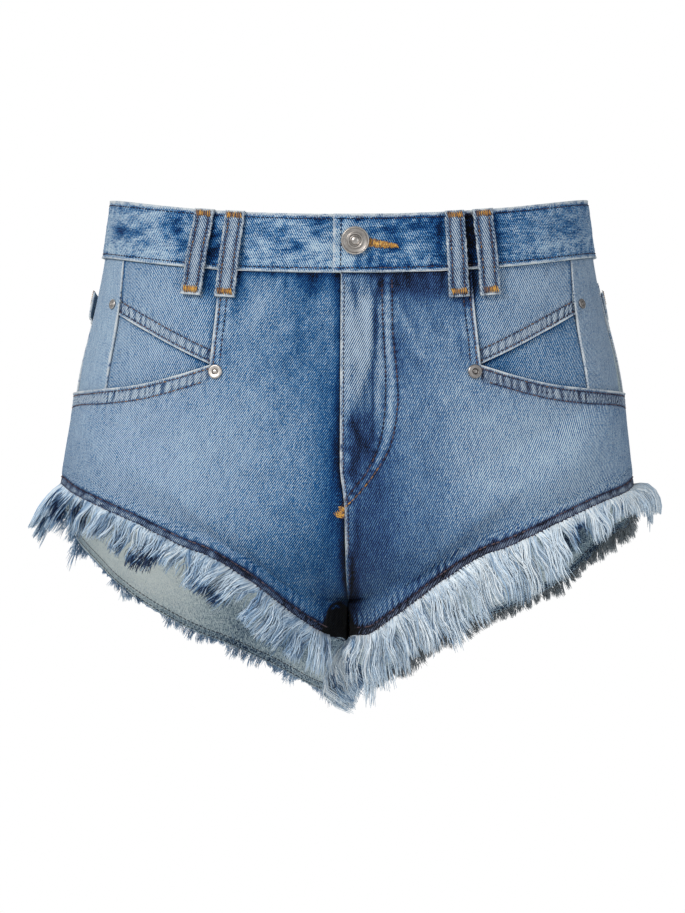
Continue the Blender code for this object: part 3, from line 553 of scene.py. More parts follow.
def denim(name, steepness=TWILL_STEEPNESS, twill=0.50, slub=0.20, speckle=0.29, warp=(0.0010, 0.008)):
    """Worn twill.

    Attributes say how faded it is and where shade is painted on it, how grey it is, how strong its ribs are, and where
    its edges are rubbed white. twill, slub and speckle are the shares of the ribs, of long streaks and of fine grain.
    warp is the streaks' size.
    """
    made = Shader(name)
    uv = made.node("UVMap").outputs[0]
    split = made.node("SeparateXYZ", {0: uv}).outputs
    turning = FULL_TURN / TWILL_PITCH
    wander = made.noise(uv, 0.010, 0.016, 1.0, 3.0)
    phase = made.total(
        (split[0], turning * math.sin(steepness)), (split[1], turning * math.cos(steepness)), (wander, 1.1)
    )
    line = made.math("SINE", phase)
    streak, grain = made.noise(uv, *warp, 2.0), made.noise(uv, 0.0008, 0.0012, 2.0, 9.0)
    cloud = made.noise(uv, 0.011, 0.018, 3.0, 5.0)
    # the cloth's fade, with painted shade in it; below zero it runs to black
    fade_and_shade_level = made.attribute("wash")
    ribs = made.math("MULTIPLY", line, made.attribute("weave"))
    broken = made.math("MULTIPLY", ribs, made.math("MULTIPLY_ADD", grain, 0.5, 1.0))
    threads = made.total((broken, twill), (streak, slub), (grain, speckle))
    contrast = made.remap(fade_and_shade_level, 0.1, 0.7, 0.60, 1.08)
    wash = made.math("MULTIPLY_ADD", threads, contrast, made.total((fade_and_shade_level, 1.0), (cloud, 0.06)))
    wash = made.remap(wash, PAINTED_SHADE_FLOOR, 1.0)
    rubbed = made.remap(made.total((made.attribute("worn"), 1.0), (grain, 0.22), (streak, 0.12)), 0.25, 0.85)
    blue = [((place - PAINTED_SHADE_FLOOR) / (1 - PAINTED_SHADE_FLOOR), colour) for place, colour in FADE_AND_SHADE_STOPS]
    grey = [(place, (GREYNESS * max(colour),) * 3) for place, colour in blue]
    colour = made.blend(made.attribute("grey"), made.ramp(wash, blue), made.ramp(wash, grey))
    colour = made.blend(rubbed, colour, WORN_COLOUR)
    height = made.total((line, 0.5), (grain, 0.6), (streak, 0.3))
    return made.finish(colour, height, bump=0.35, Specular_IOR_Level=0.12, Sheen_Weight=0.05)


def denim_inside(name):
    """The cloth's wrong side, where the pale weft shows."""
    made = Shader(name)
    uv = made.node("UVMap").outputs[0]
    split = made.node("SeparateXYZ", {0: uv}).outputs
    across, down = INSIDE_TWILL
    line = made.math("SINE", made.total((split[0], across), (split[1], down)))
    grain, heather = made.noise(uv, 0.0008, 0.0008, 1.0), made.noise(uv, 0.0013, 0.0024, 2.0, 4.0)
    cloud = made.noise(uv, 0.02, 0.03)
    value = made.total((made.attribute("wash"), 0.50), (line, 0.06), (grain, 0.30), (heather, 0.24), (cloud, 0.10))
    value = made.math("MULTIPLY_ADD", value, 0.7, 0.3)
    return made.finish(made.ramp(value, INSIDE_STOPS), grain, bump=0.3, Specular_IOR_Level=0.15)


def yarn(name, stops, **constant):
    """Thread and frayed ends: the tint picks the colour of each."""
    made = Shader(name)
    fine = made.fleck(2600.0, 1.0)
    value = made.total((made.attribute("tint"), 1.0), (made.math("SUBTRACT", fine, 0.5), 0.35))
    return made.finish(made.ramp(value, stops), fine, bump=0.2, Specular_IOR_Level=0.2, **constant)


def metal(name, dark, light):
    """Plain aged nickel, dull in its grooves and brushed by wear."""
    made = Shader(name)
    fine, patch = made.fleck(900.0, 3.0), made.fleck(230.0, 2.0)
    hollow = made.node("NewGeometry").outputs["Pointiness"]
    value = made.total((fine, 0.30), (patch, 0.35), (made.math("SUBTRACT", hollow, 0.5), 6.0))
    rubbed = tuple(min(1.0, 1.5 * c) for c in light)
    colour = made.ramp(made.math("ADD", value, 0.18), ((0.1, dark), (0.5, light), (0.9, rubbed)))
    return made.finish(colour, fine, roughness=0.34, bump=0.08, Metallic=0.92)


MATERIALS = {
    "denim": denim("denim"),
    "band_denim": denim("band_denim", -TWILL_STEEPNESS, 0.42, 0.26, 0.42, warp=(0.007, 0.0011)),
    "loop_denim": denim("loop_denim", -TWILL_STEEPNESS, 0.56, 0.16, 0.38),
    "inside": denim_inside("denim_inside"),
    "thread": yarn("thread", THREAD_STOPS),
    "fringe": yarn("fringe", FRINGE_STOPS, Sheen_Weight=0.1),
    "shaded_fringe": yarn("shaded_fringe", SHADED_FRINGE_STOPS, Sheen_Weight=0.1),
    "metal": metal("metal", srgb(60, 56, 54), srgb(172, 166, 161)),
    "dull_metal": metal("dull_metal", srgb(40, 37, 36), srgb(128, 123, 120)),
}

# ---------------------------------------------------------------- meshes


def add_object(name, data):
    """A new object, linked to the scene."""
    made = bpy.data.objects.new(name, data)
    bpy.context.scene.collection.objects.link(made)
    return made


def add_mesh(name, points, faces, materials, face_material=None, uv=None, attributes=None):
    """A piece from its points and its faces, each a row of 3 or 4 indices. Points that no face uses are left out."""
    used = np.unique(np.concatenate([f.ravel() for f in faces]))
    renumber = np.full(len(points), -1)
    renumber[used] = np.arange(len(used))
    faces = [renumber[f] for f in faces]
    points = points[used]
    mesh = bpy.data.meshes.new(name)
    mesh.vertices.add(len(points))
    mesh.vertices.foreach_set("co", points.astype(np.float32).ravel())
    corners = np.concatenate([f.ravel() for f in faces])
    sizes = np.concatenate([np.full(len(f), f.shape[1]) for f in faces])
    mesh.loops.add(len(corners))
    mesh.loops.foreach_set("vertex_index", corners.astype(np.int32))
    mesh.polygons.add(len(sizes))
    mesh.polygons.foreach_set("loop_start", np.concatenate([[0], np.cumsum(sizes)[:-1]]).astype(np.int32))
    mesh.polygons.foreach_set("use_smooth", np.full(len(sizes), True))
    if face_material is not None:
        mesh.polygons.foreach_set("material_index", face_material.astype(np.int32))
    if uv is not None:
        layer = mesh.uv_layers.new(name="UVMap")
        layer.data.foreach_set("uv", uv[used][corners].astype(np.float32).ravel())
    for key, values in (attributes or {}).items():
        made = mesh.attributes.new(key, "FLOAT", "POINT")
        made.data.foreach_set("value", values[used].astype(np.float32))
    mesh.update(calc_edges=True)
    mesh.validate()
    for material in materials:
        mesh.materials.append(MATERIALS[material])
    piece = add_object(name, mesh)
    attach(piece, "root")
    return piece


CUT_PIECES = {  # (slot, how it is held, flat size across and down)
    "front": ("denim", "hung", (0.300, 0.270)),
    "coin_pocket": ("denim", "hung", (0.075, 0.057)),
    "pocket_facing": ("denim", "laid", (0.085, 0.063)),
    "side_panel": ("denim", "hung", (0.079, 0.095)),
    "yoke": ("denim", "hung", (0.210, 0.052)),
    "back": ("denim", "hung", (0.320, 0.270)),
    "back_pocket": ("denim", "laid", (0.157, 0.134)),
    "waistband": ("band_denim", "hung", (0.430, 0.036)),
    "belt_loop": ("loop_denim", "stretched", (0.0116, 0.053)),
}


class Sheet:
    """One cut piece: a grid of places on the garment, its relief, how it is washed and worn, and where shade is painted
    on it.
    """

    def __init__(self, outer, normals, wall, side):
        self.outer, self.normals, self.wall, self.side = outer, normals, wall, side
        self.rows, self.columns = outer.shape[:2]
        self.relief, self.wash, self.worn = (np.zeros(outer.shape[:2]) for _ in range(3))
        self.inner_wash, self.skew, self.weave, self.grey = None, 0.0, 1.0, 0.0
        self.keep = np.ones((self.rows - 1, self.columns - 1), bool)
        self.across = self.length_along(1)
        self.below = self.length_along(0)

    def grain(self):
        """Each point's place in the cloth's grain: how far round the body from the middle, and how far down."""
        x, y, z = np.moveaxis(self.outer, -1, 0)
        turning = np.maximum(ramp(np.abs(x), 0.05, 0.11), 1 - ramp(np.abs(x), 0.0008, 0.0030))[:, 1:]
        run = np.hypot(np.diff(x, axis=1), turning * np.diff(y, axis=1))
        run = np.insert(np.cumsum(run, axis=1), 0, 0.0, axis=1)
        sign = 1 if y[:, 0].mean() < 0 else -1
        flat = np.exp(-(sign * y - (sign * y).min(axis=1, keepdims=True)) / 0.006)
        from_run = x - sign * self.side * run
        start = (flat * from_run).sum(axis=1, keepdims=True) / flat.sum(axis=1, keepdims=True)
        return np.stack([start + sign * self.side * run - self.skew * z, -z], -1)

    def length_along(self, axis):
        steps = np.linalg.norm(np.diff(self.outer, axis=axis), axis=-1)
        return np.insert(np.cumsum(steps, axis=axis), 0, 0.0, axis=axis)

    def from_column(self, j):
        return np.abs(self.across - self.across[:, j][:, None])

    def from_row(self, i):
        return np.abs(self.below - self.below[i][None])

    def points(self):
        return self.outer + self.normals * self.relief[..., None]

    def build(self, kind, node=None):
        """Makes the piece, in place of its solid: both faces of the cloth and the rims round its cut edges."""
        slot, held, flat = CUT_PIECES[kind]
        node = node or f"{kind}_{SIDES[self.side]}"
        outer = self.points()
        inner = outer - self.normals * np.asarray(self.wall)[..., None]
        count = self.rows * self.columns
        quads = grid_quads(self.rows, self.columns)
        face = quads[self.keep]
        rims, padded = [], np.pad(self.keep, 1)
        for (i, j), a, b in (((0, 1), 0, 1), ((1, 2), 1, 2), ((2, 1), 2, 3), ((1, 0), 3, 0)):
            open_side = self.keep & ~padded[i : i + self.rows - 1, j : j + self.columns - 1]
            edge = quads[open_side]
            rims.append(np.stack([edge[:, b], edge[:, a], edge[:, a] + count, edge[:, b] + count], -1))
        faces = [face, face[:, ::-1] + count, *rims]
        middle = outer.reshape(-1, 3)[face[len(face) // 2]]
        facing = np.cross(middle[2] - middle[0], middle[3] - middle[1])
        if facing @ self.normals.reshape(-1, 3)[face[len(face) // 2, 0]] < 0:
            faces = [f[:, ::-1] for f in faces]
        rim_count = sum(map(len, rims))
        which = np.concatenate([np.zeros(len(face)), np.ones(len(face)), np.zeros(rim_count)])
        washes = (self.wash, self.wash if self.inner_wash is None else self.inner_wash)
        fields = {"wash": washes, "worn": (self.worn,) * 2, "weave": (self.weave,) * 2, "grey": (self.grey,) * 2}
        attributes = {
            key: np.concatenate([np.broadcast_to(values, outer.shape[:2]).ravel() for values in pair])
            for key, pair in fields.items()
        }
        points = np.concatenate([outer.reshape(-1, 3), inner.reshape(-1, 3)])
        uv = np.tile(self.grain().reshape(-1, 2), (2, 1))
        piece = add_mesh(f"cloth_{node}", points, faces, (slot, "inside"), which, uv, attributes)
        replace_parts(piece, node)

    def trace(self, axis, start, distance, low=0, high=None):
        """The line at that distance from a row or column of the grid: its points and normals."""
        points, normals, length = self.points(), self.normals, self.below
        if axis == 1:
            points, normals, length = points.swapaxes(0, 1), normals.swapaxes(0, 1), self.across.T
        line, facing = [], []
        for j in range(points.shape[1])[low:high]:
            run = length[:, j] - length[start, j]
            at = np.interp(distance, run, np.arange(len(run)))
            i = min(int(at), len(run) - 2)
            line.append(mix(points[i, j], points[i + 1, j], at - i))
            facing.append(normals[i, j])
        return np.array(line), np.array(facing)


def patches(table, x, z):
    """The sum of soft oval patches: (across, height, half width, half height, lean, amount), in mm and degrees."""
    total = 0.0
    for across, height, half_width, half_height, lean, amount in table:
        c, s = math.cos(math.radians(lean)), math.sin(math.radians(lean))
        dx, dz = x * 1000 - across, z * 1000 - height
        a, b = (dx * c + dz * s) / half_width, (dz * c - dx * s) / half_height
        total = total + amount * np.exp(-((a * a + b * b) ** 1.2))
    return total


def creases(table, x, z):
    """The lift of listed creases: (across, height, to across, to height, half width, lift), in mm."""
    total = 0.0
    for x0, z0, x1, z1, half_width, lift in table:
        run = np.array((x1 - x0, z1 - z0), float)
        dx, dz = x * 1000 - x0, z * 1000 - z0
        share = (dx * run[0] + dz * run[1]) / (run @ run)
        off = np.abs(dz * run[0] - dx * run[1]) / np.linalg.norm(run) / half_width
        taper = np.sin(math.pi * np.clip(share, 0.0, 1.0)) ** 0.7
        total = total + lift / 1000 * taper * np.exp(-(off**2))
    return total


# ---------------------------------------------------------------- washes, painted shade and creases

# Washes and painted light and shade are soft oval patches: (across, height, half width, half height, lean, amount), in
# mm and degrees.
FRONT_FADE_AND_SHADE = (
    # the pale thighs and the darker stripes at the sides and the middle
    (-118, -134, 72, 52, -18, 0.25), (104, -136, 50, 44, 14, 0.28), (150, -140, 26, 44, 0, 0.14),
    (52, -142, 12, 44, 0, -0.10), (-10, -130, 10, 56, 0, -0.22), (20, -150, 13, 44, 6, -0.20),
    (-26, -72, 18, 44, 0, -0.13), (-12, -168, 30, 26, 0, -0.05), (10, -184, 16, 30, 0, -0.09),
    # the crotch: partly darker, unfaded cloth and partly painted shade by the hollow where the legs part
    (-6, -230, 70, 60, 0, -0.20), (4, -228, 60, 14, 0, 0.07), (26, -232, 26, 14, 0, 0.09),
    (4, -226, 3.6, 24, 0, -0.30), (-14, -228, 3, 18, 0, -0.16), (34, -214, 34, 26, 24, -0.02),
    (2, -205, 8, 34, 0, -0.12), (0, -214, 60, 26, 0, -0.03),
    # the fly, and painted shadow beneath the waistband beside it
    (5, -74, 10, 34, -3, 0.30), (13, -62, 3, 36, -3, 0.16), (17.5, -78, 1.5, 42, -2, -0.36),
    (20.5, -78, 1.5, 44, -2, 0.22), (24, -34, 34, 9, 0, -0.37), (3, -31, 4, 8, 0, 0.26),
    (11, -30, 2, 8, 0, 0.20), (9.5, -119, 8, 9, -10, -0.38), (27, -112, 6, 18, 0, 0.12),
    (8, -131, 10, 10, 0, -0.34), (4, -145, 6, 10, 0, -0.34), (4, -127, 2.2, 5, 0, 0.30),
    (2, -140, 1.8, 4, 0, 0.26), (11, -122, 1.8, 5, 8, 0.22),
    # beside the fly, and painted shadow beneath the waistband and its loops
    (40, -38, 18, 8, 0, -0.16), (-20, -34, 9, 12, 0, -0.18), (34, -80, 8, 16, 10, -0.14),
    (46, -48, 16, 16, 0, -0.10), (62, -92, 16, 26, 0, 0.05), (71, -36, 5, 12, 0, -0.70),
    (-52, -58, 24, 24, 0, 0.04), (-62, -34, 5, 12, 0, -0.30), (-20, -34, 10, 9, 0, -0.16),
    (57, -36, 5, 10, 0, -0.22), (90, -34, 4, 8, 0, -0.20),
)
FLY_WEAVE = ((9, -70, 15, 42, 0, 0.5),)
# Creases are lines: (across, height, to across, to height, half width, lift), in mm.
FRONT_CREASES = (
    (17.5, -38, 18, -82, 1.6, -1.1), (18, -74, 8, -122, 1.8, -1.1),
    (14.5, -40, 15, -84, 1.8, 0.5), (4, -32, 7, -52, 2.0, -0.8), (10, -30, 10, -48, 2.0, 0.5),
    (12, -92, 6, -116, 1.6, -0.7), (8, -96, 3, -116, 1.4, 0.5),
    (31, -50, 42, -70, 1.8, 0.9), (33, -46, 46, -66, 2.0, -0.6), (30, -66, 33, -86, 1.8, -0.7),
    (36, -62, 50, -84, 2.4, 0.5), (-6, -120, -9, -200, 3.0, -0.7), (12, -128, 24, -168, 3.0, -0.5),
    (28, -120, 40, -176, 4.0, -0.25), (-14, -186, -58, -172, 4.0, 0.22), (-10, -206, -66, -206, 4.5, -0.25),
    (10, -200, 54, -186, 4.0, 0.2), (10, -212, 58, -212, 4.0, -0.25), (-20, -225, -50, -232, 3.5, 0.25),
    (-60, -160, -120, -150, 9.0, 0.15), (60, -165, 120, -156, 9.0, 0.15),
    (-70, -110, -130, -122, 8.0, -0.15), (66, -104, 128, -120, 8.0, -0.15),
    (-30, -46, -24, -90, 3.5, -0.5), (-48, -42, -56, -70, 3.0, 0.45),
    (-76, -52, -62, -40, 2.0, 0.6), (-78, -60, -60, -50, 1.8, -0.6), (-78, -68, -58, -62, 2.0, 0.6),
    (-79, -78, -60, -74, 1.8, -0.5), (-70, -44, -68, -80, 2.2, 0.6), (68, -44, 73, -78, 2.2, 0.6),
    (72, -56, 58, -46, 2.0, -0.5), (74, -68, 56, -60, 2.0, 0.5), (-66, -96, -48, -104, 2.5, 0.5),
    (70, -98, 52, -108, 2.5, 0.5), (46, -34, 52, -58, 2.6, -0.5), (-92, -118, -100, -150, 6.0, 0.4),
)
BACK_WASH = (
    (80, -125, 52, 52, 0, 0.20), (-80, -125, 52, 52, 0, 0.20), (0, -150, 22, 70, 0, -0.16),
    (60, -235, 60, 26, -10, -0.10), (-60, -235, 60, 26, 10, -0.10), (0, -215, 50, 30, 0, -0.14),
    (150, -110, 20, 60, 0, -0.08), (-150, -110, 20, 60, 0, -0.08),
)
INSIDE_PAINTED_LIGHT_AND_SHADE = (  # painted shade on the back legs' inner side, as far as the leg openings show it, with one pale patch of painted light
    (-126, -201, 12, 5, -32, -1.0), (-86, -228, 9, 4, -30, -1.0), (-6, -250, 12, 22, 0, -0.7),
    (-138, -204, 34, 18, -30, 1.30), (-60, -248, 34, 16, -20, -0.70), (-20, -262, 26, 16, -20, -0.40),
    (136, -192, 17, 10, 20, -1.3),
)
# the dark patches just beneath the band, by the outer loops, are painted shadow
COIN_FADE_AND_SHADE = (
    (-95, -34, 10, 6, 0, -0.12), (-78, -60, 8, 18, 0, -0.10), (-122, -38, 16, 16, 0, 0.06),
    (-82, -34, 5, 11, 0, -0.50), (75, -35, 4, 11, 0, -0.80), (84, -36, 10, 7, 0, -0.14),
    (110, -36, 18, 9, 10, 0.10), (118, -50, 14, 8, 20, -0.04),
)
# darker by the mouth's inner ends, as painted shade in the pocket's corners
FACING_FADE_AND_SHADE = (
    (-86, -84, 14, 8, 0, -0.18), (-125, -70, 22, 14, 0, 0.05), (88, -84, 14, 8, 0, -0.14), (126, -62, 12, 18, 0, -0.06),
)
# fade and wear on the band; the dark patches beside and between the loops are painted shadow
BAND_FADE_AND_SHADE = (
    (-135, -1, 6.0, 4.8, 0, -0.42), (-128, -3, 3.6, 2.4, 0, -0.30), (-118, 6, 18.0, 3.0, 4, 0.16),
    (-133, -15, 13.2, 4.2, -4, 0.18), (-143, -9, 4.2, 15.6, 0, 0.14), (-112, -8, 13.2, 3.0, 14, -0.22),
    (-105, 1, 6.0, 4.8, -30, -0.18), (-108, -15, 8.4, 3.0, 10, 0.08), (-99, -5, 4.2, 12.0, 10, -0.50),
    (-81, -8, 7.0, 19.0, 5, -0.66), (-63, -2, 4.2, 6.0, 0, -0.42), (-61, -19, 3.6, 7.2, 0, -0.36),
    (-52, -3, 8.4, 3.6, 0, -0.22), (-35, -7, 6.0, 2.4, 0, -0.25), (-38, -8, 20, 14, 0, -0.10),
    (-26, -14, 7.2, 3.0, 10, -0.30),
    (-52, -14, 8.4, 3.0, 8, 0.14), (-44, 1, 12.0, 2.4, 0, 0.14), (-16, -2, 5.4, 7.2, -30, -0.42),
    (-18, -15, 8.4, 3.6, 12, 0.10), (-11, -22, 4.8, 3.6, 0, 0.12), (-2, -11, 5.4, 17.2, 0, 0.40),
    (2, 3, 4.2, 4.2, 0, 0.18), (2, -22, 5.4, 4.2, 0, 0.20), (9, 4, 3.0, 3.6, 0, -0.40),
    (8, -22, 1.8, 5.4, 0, -0.26), (12, -22, 1.8, 5.4, 0, 0.12), (15, -22, 1.8, 5.4, 0, -0.22),
    (19, -22, 1.8, 5.4, 0, 0.12), (22, -22, 1.8, 5.4, 0, -0.22), (17, -5, 3.6, 3.0, 20, -0.28),
    (26, -3, 4.8, 3.0, 0, -0.28), (32, -9, 4.2, 3.0, 20, -0.24), (29, -15, 3.6, 4.2, 30, -0.34),
    (37, -7, 7.2, 2.4, 22, 0.16), (43, -14, 9.6, 3.0, 12, 0.12), (42, 2, 7.2, 3.6, 0, -0.08),
    (40, -6, 20, 16, 0, -0.16),
    (52, -2, 4.8, 8.4, 0, -0.22), (56, -12, 2.1, 16.8, 0, -0.40), (73, -9, 6.2, 24.0, 0, -0.92),
    (89, -8, 3.6, 16.2, 0, -0.46), (102, 0, 9.6, 3.6, 0, -0.10), (114, 4, 8.4, 2.4, 0, 0.12),
    (123, -12, 10.8, 4.2, 8, 0.20), (102, -15, 3.0, 5.4, -40, 0.10), (137, -2, 7.2, 6.0, 0, -0.14),
    (96, -11, 4.8, 6.0, 0, -0.10),
)
BACK_CREASES = (
    (14, -196, 84, -190, 4.5, -0.9), (-16, -192, -92, -196, 4.5, -0.9), (20, -210, 70, -214, 4.0, 0.7),
    (-14, -212, -64, -218, 4.0, 0.7), (26, -228, 92, -240, 5.0, -0.7), (-24, -232, -86, -238, 5.0, -0.6),
    (8, -120, 30, -160, 5.0, -0.5), (-8, -128, -34, -160, 5.0, -0.5), (100, -190, 140, -182, 6.0, 0.5),
    (-104, -194, -138, -184, 6.0, 0.5),
)

# How the cloth looks by its edges and seams. Every place is a distance from the edge, in metres.
#   rubbed: (half width, amount, seed), the edge itself, worn white
#   relief, wash, grey: (amount, middle, half width) each, soft bands beside the edge; the dark bands under an
#       overlapping edge are painted shade
#   ribs: (start, end, pitch, wash, lift, seed) each, where the cloth puckers
#   rows: (distance, painted shade, depth, half width) each, the lines that rows of stitching pull down and that are
#       darkened as painted shade
SEAMS = {
    "mouth": dict(
        rubbed=(0.0014, 1.0, 21), relief=((0.0003, 0, 0.0011),), rows=((0.0021, -0.34), (0.0090, -0.36)),
        ribs=((0.0094, 0.0150, 0.0060, 0.08, 0.00020, 27),),
    ),
    "pocket_seam": dict(
        rubbed=(0.0016, 1.0, 31), relief=((0.0003, 0, 0.0012),), rows=((0.0021, -0.30), (0.0060, -0.26)),
        wash=((0.12, 0.0045, 0.0028), (-0.10, 0.0105, 0.0030)), ribs=((0.0028, 0.0070, 0.0052, 0.16, 0.00025, 33),),
    ),
    "front_hem": dict(
        rubbed=(0.0008, 0.6, 38), wash=((-0.30, 0.0030, 0.0034),), grey=((0.42, 0.0030, 0.0036),),
        rows=((0.0010, -0.34, 0.0002, 0.0010), (0.0058, -0.50, 0.0003, 0.0013)),
    ),
    # painted shadow beneath the waistband
    "front_top": dict(wash=((-0.34, 0, 0.0030),), ribs=((0.0, 0.010, 0.0085, 0.13, 0.00030, 41),)),
    "fly": dict(
        relief=((0.0004, 0, 0.0013),), wash=((0.10, 0.0035, 0.0026),),
        ribs=((0.0022, 0.0060, 0.0062, 0.10, 0.00022, 45),),
    ),
    # painted shadow beside the fly, under its overlapping edge
    "under_fly": dict(relief=((-0.0005, 0, 0.0040),), wash=((-0.46, 0, 0.0034),)),
    "fly_stitching": dict(relief=((-0.0003, 0, 0.0010),)),
    "coin_pocket": dict(
        rubbed=(0.0014, 1.0, 73), relief=((0.0003, 0, 0.0011),), rows=((0.0020, -0.32), (0.0082, -0.34)),
        wash=((0.06, 0.0050, 0.0028),), grey=((0.30, 0.0050, 0.0044),),
        ribs=((0.0022, 0.0078, 0.0047, 0.42, 0.00044, 75), (0.0086, 0.0130, 0.0060, 0.08, 0.00018, 77)),
    ),
    "side_panel": dict(rubbed=(0.0013, 1.0, 93), ribs=((0.0025, 0.0080, 0.0055, 0.06, 0.00012, 95),)),
    "back_side": dict(rubbed=(0.0012, 0.8, 121), ribs=((0.0016, 0.0070, 0.0056, 0.16, 0.00022, 120),)),
    "yoke": dict(
        rubbed=(0.0012, 1.0, 123), rows=((0.0018, -0.34), (0.0082, -0.34)),
        ribs=((0.0020, 0.0085, 0.0050, 0.30, 0.00034, 125),),
    ),
    "back_hem": dict(
        wash=((-0.34, 0.0032, 0.0034),),
        ribs=((0.0005, 0.0055, 0.0032, 0.20, 0.00026, 127), (0.0064, 0.0150, 0.0052, 0.20, 0.00028, 128)),
    ),
    "back_centre": dict(
        rubbed=(0.0014, 0.9, 129), rows=((0.0020, -0.34), (0.0084, -0.34)),
        ribs=((0.0022, 0.0085, 0.0052, 0.30, 0.00034, 131),),
    ),
    # painted shadow under the back seam's overlapping edge
    "under_back_centre": dict(wash=((-0.34, 0, 0.0022),)),
    "back_pocket": dict(
        rubbed=(0.0012, 0.95, 163), rows=((0.0018, -0.30), (0.0078, -0.26)),
        ribs=((0.0020, 0.0080, 0.0050, 0.20, 0.00028, 165),),
    ),
    "back_pocket_top": dict(rows=((0.0130, -0.32),), ribs=((0.0030, 0.0130, 0.0055, 0.26, 0.00034, 167),)),
    "band_top": dict(
        rubbed=(0.0021, 1.0, 187), relief=((0.0002, 0, 0.0012),), rows=((0.0030, -0.30),),
        ribs=((0.0026, 0.0080, 0.0075, 0.10, 0.00022, 192),),
    ),
    "band_foot": dict(
        rubbed=(0.0014, 0.9, 189), relief=((0.0004, 0, 0.0013),), rows=((0.0025, -0.30),),
        ribs=((0.0026, 0.0085, 0.0068, 0.14, 0.00026, 191),),
    ),
    "band_end": dict(rubbed=(0.0020, 0.85, 193), relief=((0.0004, 0, 0.0022),), rows=((0.0046, -0.40),)),
    # the dark lines by its rows of stitching are painted shade
    "belt_loop": dict(
        relief=((0.00028, 0, 0.0016), (0.00022, 0.0048, 0.0008)), wash=((0.24, 0, 0.0016), (-0.40, 0.0033, 0.0008)),
    ),
}
FRONT_HEM_ROWS, BACK_HEM_ROWS = (-0.0012, -0.0058), (-0.0012, -0.0048)

PIXEL, MIDDLE_PIXEL, MIDDLE_HEIGHT = 0.00059, (349, 456.5), -0.1382  # at the front's depth


def measured(*places):
    """(across, height) of places that were measured in pixels, across and down."""
    x0, y0 = MIDDLE_PIXEL
    return [((x - x0) * PIXEL, (y0 - y) * PIXEL + MIDDLE_HEIGHT) for x, y in places]


# the fly's inner row of stitching, the pale ridge beside it, its outer row, their end and the buttonhole's end
J_INNER = measured((386, 279), (387, 322), (390, 384), (386, 435), (372, 471), (357, 490), (344, 509))
J_MIDDLE = measured((391, 279), (392, 325), (396, 379), (395, 410), (391, 440), (376, 472))
J_OUTER = measured((396, 279), (397, 333), (401, 373), (402, 404), (395, 445), (380, 472), (362, 495), (345, 511))
J_END, BUTTONHOLE_END = measured((346, 512)), measured((385, 243.8))


def dress(sheet, seed, wash, wash_table=(), crease_table=(), mottle=0.05):
    """Gives a sheet its wash and painted shade, its listed creases and a gentle unevenness. The creases' ridges are
    painted paler and their valleys darker, partly as wear and partly as painted light and shade.
    """
    x, y, z = np.moveaxis(sheet.outer, -1, 0)
    sheet.wash = wash + patches(wash_table, x, z)
    sheet.wash += mottle * noise(seed, x / 0.016, y / 0.016, z / 0.022)
    sheet.wash += 0.6 * mottle * noise(seed + 1, x / 0.006, y / 0.006, z / 0.009)
    lift = creases(crease_table, x, z)
    sheet.relief = sheet.relief + lift + 0.00022 * noise(seed + 2, x / 0.018, y / 0.018, z / 0.024)
    # the creases' ridges paler and their valleys darker: partly wear, partly painted light and shade
    sheet.wash += 190 * np.clip(lift, -0.001, 0.001)


def worn_edge(sheet, distance, along, width, amount, seed, where=1.0):
    """Rubs an edge to white, unevenly along it."""
    uneven = 0.78 + 0.30 * noise(seed, along / 0.004) + 0.12 * noise(seed + 1, along / 0.0013)
    sheet.worn = np.maximum(sheet.worn, where * amount * uneven * bell(distance, 0, width))


def pucker(sheet, distance, along, start, end, pitch, wash, lift, seed, where=1.0):
    """The ribs that a shrunken seam draws up between its rows of stitching: broad and pale, with dark bars between."""
    middle, half = (start + end) / 2, (end - start) / 2
    band = 1 - ramp(np.abs(distance - middle), half * 0.75, half * 1.15)
    turns = along / pitch
    turns = turns + 0.45 * noise(seed, turns / 2.3) + 0.12 * noise(seed + 1, turns, distance / 0.002)
    rib = 1 - 2.0 * (0.5 - 0.5 * np.sin(FULL_TURN * turns)) ** 2.2
    rib = (rib - 0.3) * (0.75 + 0.35 * noise(seed + 2, turns / 1.7))
    sheet.wash += where * band * wash * rib
    sheet.relief += where * band * lift * rib


def groove(sheet, distance, at, wash, depth=0.00025, width=0.0008, where=1.0):
    """The line that a row of stitching pulls down, darkened as painted shade in the groove."""
    line = bell(distance, at, width) * where
    sheet.relief -= depth * line
    sheet.wash += wash * line


def sew(sheet, seam, distance, along, where=1.0):
    """Gives the cloth by an edge what SEAMS says of it."""
    look = SEAMS[seam]
    if "rubbed" in look:
        worn_edge(sheet, distance, along, *look["rubbed"], where)
    for field in ("relief", "wash", "grey"):
        for amount, middle, half_width in look.get(field, ()):
            change = amount * where * bell(distance, middle, half_width)
            setattr(sheet, field, getattr(sheet, field) + change)
    for ribs in look.get("ribs", ()):
        pucker(sheet, distance, along, *ribs, where)
    for row in look.get("rows", ()):
        groove(sheet, distance, *row, where=where)


def rows_of(seam, sign=1):
    """How far a seam's rows of stitching lie from its edge."""
    return [sign * row[0] for row in SEAMS[seam]["rows"]]


def narrowing(along, length, first, last):
    """How many ribs lie before each place, where their pitch goes evenly from the first to the last."""
    pitch = np.maximum(first + (last - first) * along / length, 0.6 * min(first, last))
    return length / (last - first) * np.log(pitch / first)


def near_line(x, z, line):
    """Each place's distance from a path, and how far along the path it lies."""
    start, run = line[:-1], np.diff(line, axis=0)
    length, before = np.linalg.norm(run, axis=1), run_along(line)
    best, along = np.full(x.shape, 1.0), np.zeros(x.shape)
    for n in range(len(start)):
        dx, dz = x - start[n, 0], z - start[n, 1]
        share = np.clip((dx * run[n, 0] + dz * run[n, 1]) / length[n] ** 2, 0.0, 1.0)
        distance = np.hypot(dx - share * run[n, 0], dz - share * run[n, 1])
        closer = distance < best
        best, along = np.where(closer, distance, best), np.where(closer, before[n] + share * length[n], along)
    return best, along


# ---------------------------------------------------------------- thread


